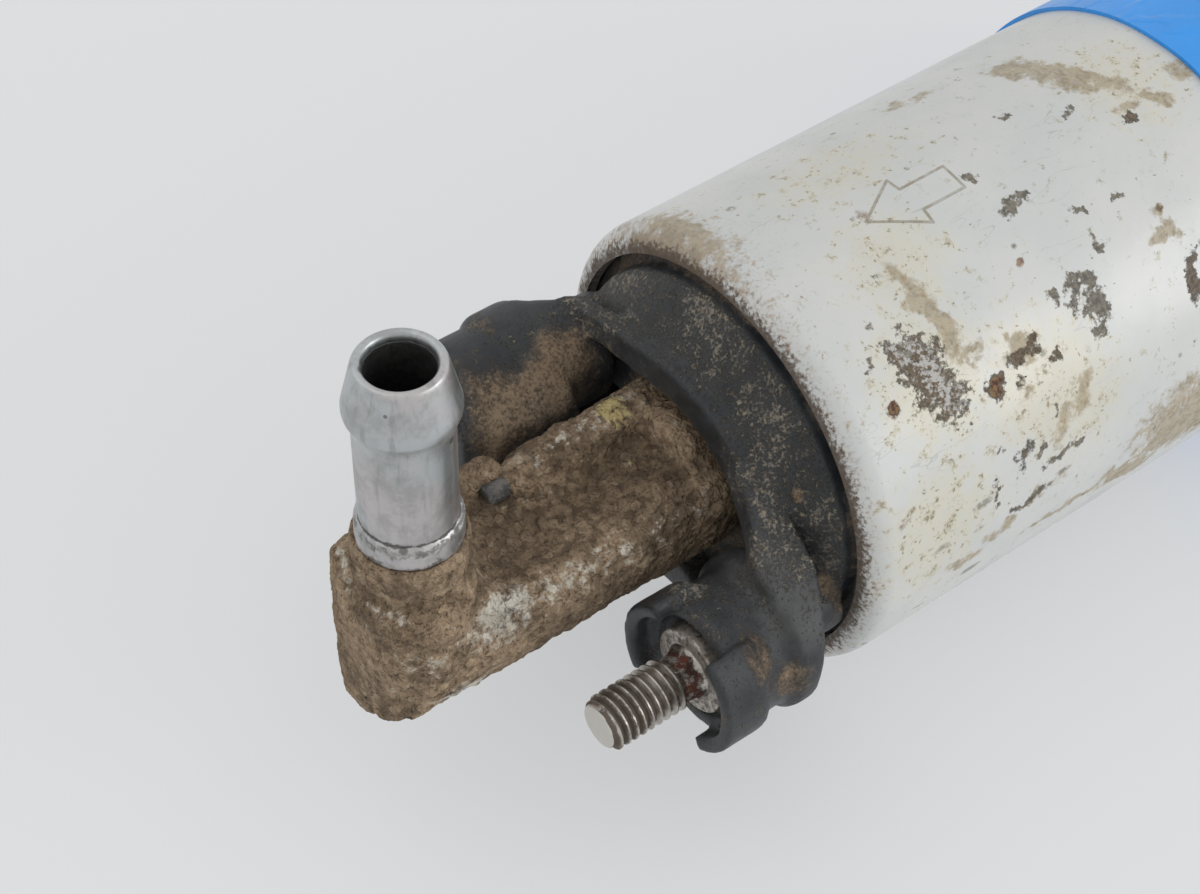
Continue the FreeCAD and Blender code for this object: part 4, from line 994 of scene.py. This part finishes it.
class PUMP_OT_barrel(bpy.types.Operator):
    """Make the painted barrel with its two rolled edges"""

    bl_idname = "pump.barrel"
    bl_label = "Barrel"

    def execute(self, context):
        steps = context.scene.pump_sizes.turned_steps
        wall, roll, lip = 1.5 * MM, 2.9 * MM, 23.1 * MM
        length = BARREL_HIGH.x - BARREL_LOW.x
        stations = 40
        outside = self.roll_over(roll, roll, lip)
        inside = self.roll_over(roll, roll - wall, lip)
        path = [(0, lip), *outside]
        path += [(roll + (length - 2 * roll) * i / stations, BARREL_R) for i in range(1, stations)]
        path += [(length - a, r) for a, r in reversed(outside)]
        path += [(length, lip), (length - wall, lip)]
        path += [(length - a, r) for a, r in inside]
        path += [*reversed(inside), (wall, lip)]
        bm = turned(path, X_AXIS, Vector((RIM_X, 0, 0)), steps)
        push_out(bm, self.dents)
        new_piece("barrel_shell", bm, "barrel_paint", ["barrel"])
        return {"FINISHED"}

    def roll_over(self, centre, radius, foot):
        """Points round a rolled edge from its flank to the barrel's side."""
        count = 10
        angles = (math.pi / 2 * i / count for i in range(1, count + 1))
        return [(centre - radius * math.cos(a), foot + radius * math.sin(a)) for a in angles]

    def dents(self, point, normal):
        """Faint hollows that bend the reflections, never outwards."""
        return -0.00003 * (1 + lumps(point, 0.022, 2)) * ease(abs(normal.x), 0.5, 0.1)


class PUMP_OT_sleeve(bpy.types.Operator):
    """Make the blue plastic sleeve with its wavy edges"""

    bl_idname = "pump.sleeve"
    bl_label = "Sleeve"

    def execute(self, context):
        sizes = context.scene.pump_sizes
        low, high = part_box("clamp_sleeve")
        outer = high.y
        film = outer - BARREL_R
        ripple = 0.03 * MM
        stations = 60
        length = high.x - low.x
        path = [(length * i / stations, outer - ripple) for i in range(stations + 1)]
        path += [(length, outer - film), (0, outer - film)]
        bm = turned(path, X_AXIS, Vector((low.x, 0, 0)), sizes.turned_steps)
        middle = (low.x + high.x) / 2
        for vert in bm.verts:
            around = math.atan2(vert.co.z, vert.co.y)
            ring = Vector((math.cos(around), math.sin(around), vert.co.x / 0.02))
            edge = abs(vert.co.x - middle) / (length / 2)
            side = 1 if vert.co.x > middle else -1
            wander = 0.5 + 0.5 * lumps(ring * 0.6, 0.4, 3)
            vert.co.x -= side * sizes.sleeve_wave * wander * edge ** 6
            radius = math.hypot(vert.co.y, vert.co.z)
            if radius > outer - film / 2:
                scale = (radius + ripple * lumps(vert.co, 0.006, 2)) / radius
                vert.co.y *= scale
                vert.co.z *= scale
        new_piece("film_sleeve", bm, "blue_sleeve", ["clamp_sleeve"])
        return {"FINISHED"}


# Where dust and mud lie on the cap: a place and a reach in rim millimetres, and an amount
CAP_DUST = (
    ((-6.5, -11.5, 11.0), (2.5, 5.0, 4.5), 0.50), ((-15.0, -13.5, 2.0), (3.0, 5.0, 4.0), 0.62),
    ((-14.9, 21.0, 11.0), (2.0, 4.0, 4.0), 0.42), ((-8.6, -17.5, 6.5), (3.0, 3.0, 3.0), 0.45),
    ((-18.0, 12.5, 8.0), (7.0, 5.0, 7.0), 0.78),
)
CAP_MUD = (
    ((-10.0, 13.5, 7.5), (5.0, 4.0, 7.0), 0.90), ((-13.0, 12.4, 7.0), (6.0, 3.4, 6.5), 0.86),
    ((-18.6, 13.0, 6.5), (5.6, 8.0, 9.0), 0.82), ((-14.9, 20.0, 12.0), (1.2, 1.9, 1.6), 0.55),
    ((-1.6, -20.7, -1.6), (1.3, 2.6, 3.2), 0.60), ((-0.8, -21.9, -2.9), (1.4, 1.6, 2.2), 0.70),
    ((-10.5, -26.0, -4.0), (3.2, 2.2, 3.6), 0.62), ((-6.0, -22.5, 6.5), (3.0, 2.4, 2.4), 0.42),
    ((-4.5, 9.0, 10.5), (3.0, 4.0, 3.5), 0.50), ((-2.8, -4.0, 15.5), (1.6, 3.6, 1.6), 0.36),
    ((-14.0, -24.5, 1.0), (2.6, 4.2, 4.2), 0.66), ((-2.7, -16.0, 9.2), (0.9, 0.9, 1.3), 0.95),
)


class PUMP_OT_outlet_cap(bpy.types.Operator):
    """Make the moulded outlet cap with its soft edges and its dust"""

    bl_idname = "pump.outlet_cap"
    bl_label = "Outlet cap"

    def execute(self, context):
        sizes = context.scene.pump_sizes
        bm = from_solid("outlet_cap", sizes.cap_grid, 2, [self.packed_dirt()])
        bm.normal_update()
        for _ in range(5):
            smooth(bm, [v for v in bm.verts if self.soft_zone(v.co)])
        push_out(bm, self.cake)
        obj = new_piece("cap_moulding", bm, "black_plastic", ["outlet_cap"], sharp=None)
        # The film attribute carries the painted sheen.
        paint(obj, dust=self.dust, mud=self.mud, film=self.film)
        return {"FINISHED"}

    def soft_zone(self, point):
        """The crown's wall, whose edges are more rounded than the guards'."""
        crown_r, boss_r = 17.5, 9.2
        x, y, z = rim_mm(point)
        from_stud = min((point.yz - middle.yz).length for middle in (POSITIVE, NEGATIVE)) / MM
        return -15.2 < x < -0.8 and (math.hypot(y, z) < crown_r or from_stud < boss_r)

    def packed_dirt(self):
        """Dirt packed along the underside of the far terminal's tower and boss."""
        path = [(0, 0), (0, 5.4), (0.5, 6.1), (5.2, 6.3), (5.9, 6.8), (10.9, 6.8), (10.9, 0)]
        middle = NEGATIVE + Vector((from_rim(-21.2), -2.2 * MM, -1.6 * MM))
        bm = turned([(a * MM, r * MM) for a, r in path], X_AXIS, middle, 64)
        bmesh.ops.subdivide_edges(bm, edges=bm.edges[:], cuts=3, use_grid_fill=True)
        push_out(bm, lambda point, normal: 0.22 * MM * lumps(point, 0.003, 3))
        return bm

    def cake(self, point, normal):
        """The faint unevenness of the dirty moulding."""
        return 0.00004 * lumps(point, 0.003, 2)

    def dust(self, point, normal):
        x, y, z = rim_mm(point)
        r = math.hypot(y, z)
        cone = ease(r, 14.8, 17.0) * ease(r, 22.3, 21.3) * ease(x, 0.2, -0.6)
        cone *= 1 - 0.5 * ease(x, -6.2, -8.0)
        inside = ease(r, 12.8, 11.6) * ease(x, -9.0, -6.2)
        return max(0.12 + 0.46 * cone, 0.70 * inside, spots(point, CAP_DUST))

    def mud(self, point, normal):
        x, y, z = rim_mm(point)
        r = math.hypot(y, z)
        floor = ease(r, 12.0, 11.2) * ease(x, -4.2, -2.8)
        neck = ease(r, 21.0, 21.6) * ease(x, 0.0, 1.0)
        return max(0.08 + 0.50 * floor, 0.42 * neck, spots(point, CAP_MUD))

    def film(self, point, normal):
        """Painted sheen: a smooth grey lightening that stands in for the moulding's reflection, heaviest
        on the near ear.
        """
        return max(0.30, 0.95 * near(point, (-8.6, -21.0, 2.5), (4.0, 8.0, 7.5), 1.2, 0.5))


# Lumps of mud on the elbow: two corners in rim millimetres, and the width of the soft edge
ELBOW_LUMPS = (
    ((-45.1, -4.2, -8.8), (-36.5, 4.8, -0.5), 2.2),
    ((-45.2, -0.6, -11.3), (-38.0, 5.0, -1.0), 1.5),
    ((-29.8, 5.9, -0.5), (-22.6, 9.3, 7.4), 1.5),
)


class PUMP_OT_outlet_elbow(bpy.types.Operator):
    """Make the cast elbow under its coat of dried mud"""

    bl_idname = "pump.outlet_elbow"
    bl_label = "Outlet elbow"

    def execute(self, context):
        sizes = context.scene.pump_sizes
        self.height = sizes.mud_height
        added = [self.mud_bed(), self.rib_crust(), *(self.lump(*row) for row in ELBOW_LUMPS)]
        bm = from_solid("outlet_elbow", sizes.elbow_grid, 3, added)
        push_out(bm, self.coat_height)
        smooth(bm, bm.verts)
        push_out(bm, self.grit_height)
        for vert in bm.verts:
            vert.co.x = max(vert.co.x, cad_low.x + 0.02 * MM)
        obj = new_piece("muddy_elbow", bm, "die_cast", ["outlet_elbow"], sharp=None)
        paint(obj, deep=self.deep, worn=self.worn, ochre=self.ochre)
        return {"FINISHED"}

    def mud_bed(self):
        """Mud settled on the arm's flat, thicker at the root, the rib and the boss."""
        thick = self.height / MM

        def top_at(x, y):
            inside = ease(y, -7.4, -5.2) * ease(x, -37.5, -34.5)
            rise = 1.05 * ease(x, -15.5, -8.0) * ease(y, -7.6, -3.0)
            by_rib = 0.6 * ease(y, 1.2, 4.0)
            by_boss = 1.3 * ease(math.hypot(x + BARB_TO_RIM, y), 9.2, 6.2)
            level = thick * (0.62 + 0.55 * lumps(Vector((x, y, 0)) * MM, 0.0042, 3))
            return 3.3 + inside * (0.4 + level + rise + max(by_rib, by_boss))

        return bed((-37.5, -7.3, 1.0), (-5.4, 6.6, 1.0), 0.45, top_at)

    def rib_crust(self):
        """Crust round the rib, with the plug pin's end left clear."""
        path = [(0, 0), (0.4, 1.5), (1.6, 2.1), (3.4, 2.45), (12.0, 2.75), (20.6, 2.95), (20.6, 0)]
        start = rim_point(-23.6, RIB_Y, RIB_Z)
        bm = turned([(a * MM, r * MM) for a, r in path], X_AXIS, start, 40)
        push_out(bm, lambda point, normal: 0.25 * MM * lumps(point, 0.0035, 2))
        return bm

    def lump(self, low, high, edge):
        """A block of mud with soft edges, from two corners in rim millimetres."""
        bm = bmesh.new()
        bmesh.ops.create_cube(bm, size=1.0)
        for vert in bm.verts:
            vert.co = rim_point(*(a + (b - a) * (c + 0.5) for a, b, c in zip(low, high, vert.co)))
        bmesh.ops.bevel(
            bm, geom=bm.edges[:], offset=edge * MM, segments=4, profile=0.5, affect="EDGES", material=-1)
        return bm

    def outside(self, point):
        """1 on the elbow's open surface, and 0 in its bores and inside the cap."""
        x, y, z = rim_mm(point)
        bores = ease(math.hypot(y, z), 4.2, 4.8) * ease(math.hypot(x + BARB_TO_RIM, y), 5.0, 5.6)
        return ease(x, -2.6, -3.6) * bores

    def coat_height(self, point, normal):
        x, _, z = rim_mm(point)
        lump = lumps(point, 0.0045, 3)
        high = 1 - 0.8 * ease(z, 10.5, 13.6)
        end = ease(x, -42.5, -44.8)
        height = self.height * (0.16 + 0.24 * lump) * high
        sunk = 0.20 * MM * end * (0.5 + 0.9 * lump)
        return self.outside(point) * (height * (1 - end) - max(sunk, 0.0))

    def grit_height(self, point, normal):
        grain = 0.26 * MM * lumps(point, 0.0019, 3) + 0.08 * MM * lumps(point + normal, 0.0008, 2)
        return self.outside(point) * grain * (1 - 0.6 * ease(point.z / MM, 11.0, 13.6))

    def deep(self, point, normal):
        # Darker, crumblier mud in the hollow of the flat, at the rib's foot and beside the pin; it is also
        # painted shade for these recesses.
        x, y, z = rim_mm(point)
        hollow = ease(normal.z, 0.3, 0.8) * ease(z, 8.2, 6.5) * ease(x, -33.5, -30.0) * ease(y, -7.0, -4.0)
        rib = 0.34 * ease(math.hypot(y - RIB_Y, z - RIB_Z), 3.7, 3.1) * ease(x, -25.0, -23.0)
        by_pin = 0.75 * near(point, (-26.2, 7.8, 4.0), (5.0, 2.4, 5.5), 1.2, 0.7)
        return max(rib, by_pin, hollow * (0.78 + 0.50 * lumps(point, 0.006, 2)))

    def worn(self, point, normal):
        """High along the flat's near edge, the knee below the barb and the rib."""
        x, y, z = rim_mm(point)
        edge = ease(abs(y + 7.3), 2.6, 0.4) * ease(abs(z - 3.3), 3.2, 0.8) * ease(x, -4.0, -9.0)
        knee = near(point, (-32.5, -6.6, 2.8), (5.6, 2.8, 4.0), 1.25, 0.3)
        rib = ease(math.hypot(y - RIB_Y, z - 7.6), 2.2, 0.9) * ease(x, -24.0, -20.0)
        front = ease(normal.z, 0.35, 0.8) * ease(x, -41.5, -43.5) * ease(abs(z - 9.0), 2.5, 0.8)
        shin = near(point, (-38.0, -7.5, -3.5), (4.5, 2.5, 3.2), 1.2, 0.3)
        return max(0.37 * edge, 0.82 * knee, 0.72 * shin, 0.32 * rib, 0.46 * front)

    def ochre(self, point, normal):
        """A yellow patch on top of the rib, close to the cap."""
        x, y, z = rim_mm(point)
        return 0.78 * ease(math.hypot(x + 9.5, y - 5.2), 2.6, 0.8) * ease(z, 5.0, 6.4)


class PUMP_OT_hose_barb(bpy.types.Operator):
    """Make the plated hose barb with its bead and worn foot"""

    bl_idname = "pump.hose_barb"
    bl_label = "Hose barb"

    def execute(self, context):
        steps = context.scene.pump_sizes.turned_steps
        # Millimetres up and outwards: the foot's collar, the tube, the bead, the mouth, the bore
        path = [(3.2, 4.9), (14.2, 4.9), (14.25, 5.4), (16.5, 5.4), (16.95, 5.2), (17.15, 4.9)]
        path += [(17.15 + (28.0 - 17.15) * i / 12, 4.9) for i in range(1, 12)]
        path += self.curve((28.0, 4.9), (29.4, 4.9), (30.0, 5.10), (30.8, 5.45))
        path += self.curve((30.8, 5.45), (31.1, 5.60), (31.4, 5.65), (31.9, 5.63))
        path += [(31.9 + 4.3 * i / 6, 5.63 - 1.0 * i / 6) for i in range(1, 6)]
        path += self.curve((36.2, 4.63), (36.8, 4.48), (37.0, 4.35), (37.0, 4.05))
        path += self.curve((37.0, 4.05), (37.0, 3.6), (36.7, 3.4), (35.8, 3.4))
        path += [(35.8 - (35.8 - 3.2) * i / 8, 3.4) for i in range(1, 9)]
        bm = turned([(a * MM, r * MM) for a, r in path], Z_AXIS, Vector((BARB_X, 0, 0)), steps)
        push_out(bm, self.wear)
        obj = new_piece("barb_tube", bm, "plated_steel", ["hose_barb"])
        paint(obj, grime=self.grime, scuff=self.scuff, bore=lambda point, _: 0.85 * self.bore(point))
        return {"FINISHED"}

    def curve(self, start, out, into, end):
        """A smooth stretch of the profile between two points."""
        points = interpolate_bezier(*(Vector((*p, 0)) for p in (start, out, into, end)), 10)
        return [(p.x, p.y) for p in points[1:]]

    def wear(self, point, normal):
        foot = ease(point.z / MM, 17.4, 16.9)
        return foot * 0.09 * MM * (lumps(point, 0.0018, 3) - 0.6)

    def grime(self, point, normal):
        z = point.z / MM
        line = ease(abs(z - 17.25), 0.45, 0.1)
        foot = ease(z, 14.9, 14.3)
        # In the bore the grime adds to its painted shade.
        return min(1.0, 0.62 * line + 0.5 * foot + 0.9 * self.bore(point))

    def from_axis(self, point):
        return (point.xy - Vector((BARB_X, 0))).length / MM

    # Where the tube's bore is painted near black as shade.
    def bore(self, point):
        return ease(self.from_axis(point), 3.7, 3.5) * ease(point.z / MM, 36.6, 35.6)

    def scuff(self, point, normal):
        z = point.z / MM
        return 0.55 * ease(z, 14.2, 14.8) * ease(z, 17.1, 16.8) * ease(self.from_axis(point), 4.6, 5.0)


class PUMP_OT_gallery_pin(bpy.types.Operator):
    """Make the rough plug pin at the end of the elbow's rib"""

    bl_idname = "pump.gallery_pin"
    bl_label = "Gallery pin"

    def execute(self, context):
        bm = from_solid("gallery_pin", 0.16 * MM, 2)
        push_out(bm, lambda point, normal: 0.10 * MM * lumps(point, 0.0011, 3))
        obj = new_piece("plug_pin", bm, "plated_steel", ["gallery_pin"], sharp=None)
        paint(obj, grime=lambda *_: 0.66, scuff=lambda _, normal: 0.32 * ease(normal.x, -0.2, -0.9))
        return {"FINISHED"}


class PUMP_OT_studs(bpy.types.Operator):
    """Make both terminal studs with their rolled threads and flanges"""

    bl_idname = "pump.studs"
    bl_label = "Terminal studs"

    def execute(self, context):
        sizes = context.scene.pump_sizes
        self.make_stud("positive_stud", POSITIVE, 3.0 * MM, sizes, 2.3 * MM)
        self.make_stud("negative_stud", NEGATIVE, 2.5 * MM, sizes, 2.1 * MM)
        return {"FINISHED"}

    def make_stud(self, node, middle, radius, sizes, neck):
        """neck is the smooth stretch between the thread and the flange."""
        low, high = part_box(node)
        flange_r = (high.y - low.y) / 2
        flange_front = low.x + self.flange_from_tip(node)
        tip = low.x
        thread_end = flange_front - neck
        minor = radius - sizes.thread_depth
        bm = self.thread(middle, radius, minor, tip, thread_end, sizes.thread_pitch)
        flange = 1.9 * MM
        hidden_r = radius * 0.66
        front = flange_front - tip
        path = [
            (0, 0), (0, minor), (thread_end - tip, minor + 0.1 * MM),
            (front - 0.8 * MM, minor + 0.25 * MM), (front, minor + 0.8 * MM), (front, flange_r),
            (front + flange, flange_r), (front + flange, hidden_r), (high.x - tip, hidden_r),
            (high.x - tip, 0)]
        soft = [(5, 0.3 * MM), (6, 0.3 * MM), (3, 0.2 * MM)]
        join(bm, turned(path, X_AXIS, Vector((tip + 0.12 * MM, *middle.yz)), 96, soft))
        push_out(bm, lambda point, normal: 0.02 * MM * lumps(point, 0.0012, 2))
        obj = new_piece(node.replace("stud", "thread"), bm, "terminal_steel", [node])
        self.paint_wear(obj, middle, radius, minor, tip, thread_end, flange_front)

    def flange_from_tip(self, node):
        """How far the flange's front lies behind the stud's tip."""
        low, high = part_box(node)
        middle = node_middle(node).yz
        on_rim = (high.y - low.y) / 2 - 0.05 * MM
        verts = frame["nodes"][node].data.vertices
        return min(v.co.x for v in verts if (v.co.yz - middle).length > on_rim) - 0.3 * MM - low.x

    def thread(self, middle, major, minor, start, end, pitch):
        """A rolled thread, cut square at both ends and chamfered at its tip."""
        bm = bmesh.new()
        centre = Vector((start - pitch, *middle.yz))
        profile = [(0.0, minor), (0.10, minor), (0.42, major), (0.58, major), (0.90, minor), (1.0, minor)]
        verts = [bm.verts.new(centre + X_AXIS * pitch * a + Z_AXIS * r) for a, r in profile]
        edges = [bm.edges.new(pair) for pair in zip(verts, verts[1:])]
        spare_turns = 3
        turns = int((end - start) / pitch) + spare_turns
        per_turn = 48
        bmesh.ops.spin(
            bm, geom=verts + edges, cent=centre, axis=X_AXIS, dvec=X_AXIS * (pitch / per_turn),
            angle=2 * math.pi * turns, steps=per_turn * turns, use_merge=False, use_duplicate=False)
        bmesh.ops.remove_doubles(bm, verts=bm.verts, dist=4 * WELD)
        for x, way in ((start, -1), (end, 1)):
            plane = Vector((x, 0, 0))
            geom = bm.verts[:] + bm.edges[:] + bm.faces[:]
            bmesh.ops.bisect_plane(
                bm, geom=geom, plane_co=plane, plane_no=X_AXIS * way, clear_outer=True, dist=NODE_WELD)
            cut = [e for e in bm.edges if e.is_boundary and all(abs(v.co.x - x) < WELD for v in e.verts)]
            bmesh.ops.contextual_create(bm, geom=cut)
        chamfer = 0.75 * MM
        for vert in bm.verts:
            away = Vector((vert.co.y - middle.y, vert.co.z - middle.z))
            allowed = major - chamfer * ease(vert.co.x, start + chamfer, start) * 0.9
            fade = ease(vert.co.x, end - 0.2 * MM, end)
            allowed = allowed * (1 - fade) + (minor + 0.08 * MM) * fade
            if away.length > allowed:
                away *= allowed / away.length
                vert.co.y, vert.co.z = middle.y + away.x, middle.z + away.y
        bmesh.ops.recalc_face_normals(bm, faces=bm.faces)
        return bm

    def paint_wear(self, obj, middle, radius, minor, tip, thread_end, flange_front):
        def behind_tip(point):
            return ease(point.x, tip + 0.04 * MM, tip + 0.12 * MM)

        def rust(point, normal):
            neck = ease(point.x, thread_end - 0.6 * MM, thread_end + 0.4 * MM)
            neck *= ease(point.x, flange_front + 0.35 * MM, flange_front - 0.1 * MM)
            spot = 0.5 + 0.5 * lumps(point, 0.002, 2)
            return (0.46 + 0.30 * spot) * neck

        def root(point, normal):
            r = (point.yz - middle.yz).length
            deep = ease(r, radius - 0.08 * MM, minor + 0.1 * MM)
            flange = 0.56 * ease(point.x, flange_front - 0.2 * MM, flange_front)
            flange *= ease(point.x, flange_front + 2.6 * MM, flange_front + 2.1 * MM)
            front = ease(point.x, thread_end - 3.5 * MM, thread_end - 5.5 * MM)
            deep *= (0.72 + 0.26 * front) * ease(point.x, thread_end + 1e-3, thread_end)
            return max(flange, deep, 0.52 * front) * behind_tip(point)

        paint(obj, rust=rust, root=root, clean=lambda point, _: 0.9 * (1 - behind_tip(point)))


class PUMP_OT_springs(bpy.types.Operator):
    """Make the four springs as copies of their solids, fixed where they stand"""

    bl_idname = "pump.springs"
    bl_label = "Springs"

    def execute(self, context):
        self.make_spring("check_valve_spring", "check_valve", X_AXIS)
        self.make_spring("relief_spring", "relief_valve", -X_AXIS)
        for side in ("positive_brush", "negative_brush"):
            middle = node_middle(side + "_spring")
            self.make_spring(side + "_spring", side, -middle.normalized())
        return {"FINISHED"}

    def make_spring(self, node, body, way):
        """way runs from the end that stays to the end that moves; it is not used."""
        bm = node_copy(node)
        slot = next(row["material_slot"] for row in frame["record"]["subparts"] if row["node"] == node)
        obj = new_piece(node + "_coil", bm, slot, [node], body=None, sharp=math.radians(60))
        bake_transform(obj)


class PUMP_OT_inner_parts(bpy.types.Operator):
    """Give every solid that stays as it is the finish of its own slot"""

    bl_idname = "pump.inner_parts"
    bl_label = "Inner parts"

    def execute(self, context):
        for row in frame["record"]["subparts"]:
            node = frame["nodes"][row["node"]]
            if node.hide_render:
                continue
            node.data.materials.clear()
            node.data.materials.append(finish_for(row["material_slot"]))
        return {"FINISHED"}


STEPS = (
    PUMP_OT_stage,
    PUMP_OT_barrel,
    PUMP_OT_sleeve,
    PUMP_OT_outlet_cap,
    PUMP_OT_outlet_elbow,
    PUMP_OT_hose_barb,
    PUMP_OT_gallery_pin,
    PUMP_OT_studs,
    PUMP_OT_springs,
    PUMP_OT_inner_parts,
)


class PUMP_PT_panel(bpy.types.Panel):
    """The pump's sizes, colours and making steps"""

    bl_label = "Fuel pump"
    bl_idname = "PUMP_PT_panel"
    bl_space_type = "VIEW_3D"
    bl_region_type = "UI"
    bl_category = "Fuel pump"

    def draw(self, context):
        layout = self.layout
        for settings in (
            context.scene.pump_sizes, context.scene.pump_colours, context.scene.pump_stage
        ):
            box = layout.box()
            for name in settings.__annotations__:
                box.prop(settings, name)
        for step in STEPS:
            layout.operator(step.bl_idname)


CLASSES = (PumpColours, PumpSizes, PumpStage, *STEPS, PUMP_PT_panel)


def register():
    for kind in CLASSES:
        bpy.utils.register_class(kind)
    bpy.types.Scene.pump_colours = PointerProperty(type=PumpColours)
    bpy.types.Scene.pump_sizes = PointerProperty(type=PumpSizes)
    bpy.types.Scene.pump_stage = PointerProperty(type=PumpStage)


def unregister():
    del bpy.types.Scene.pump_stage
    del bpy.types.Scene.pump_sizes
    del bpy.types.Scene.pump_colours
    for kind in reversed(CLASSES):
        bpy.utils.unregister_class(kind)


def main():
    register()
    for step in STEPS:
        group, name = step.bl_idname.split(".")
        getattr(getattr(bpy.ops, group), name)()


if __name__ == "__main__":
    main()
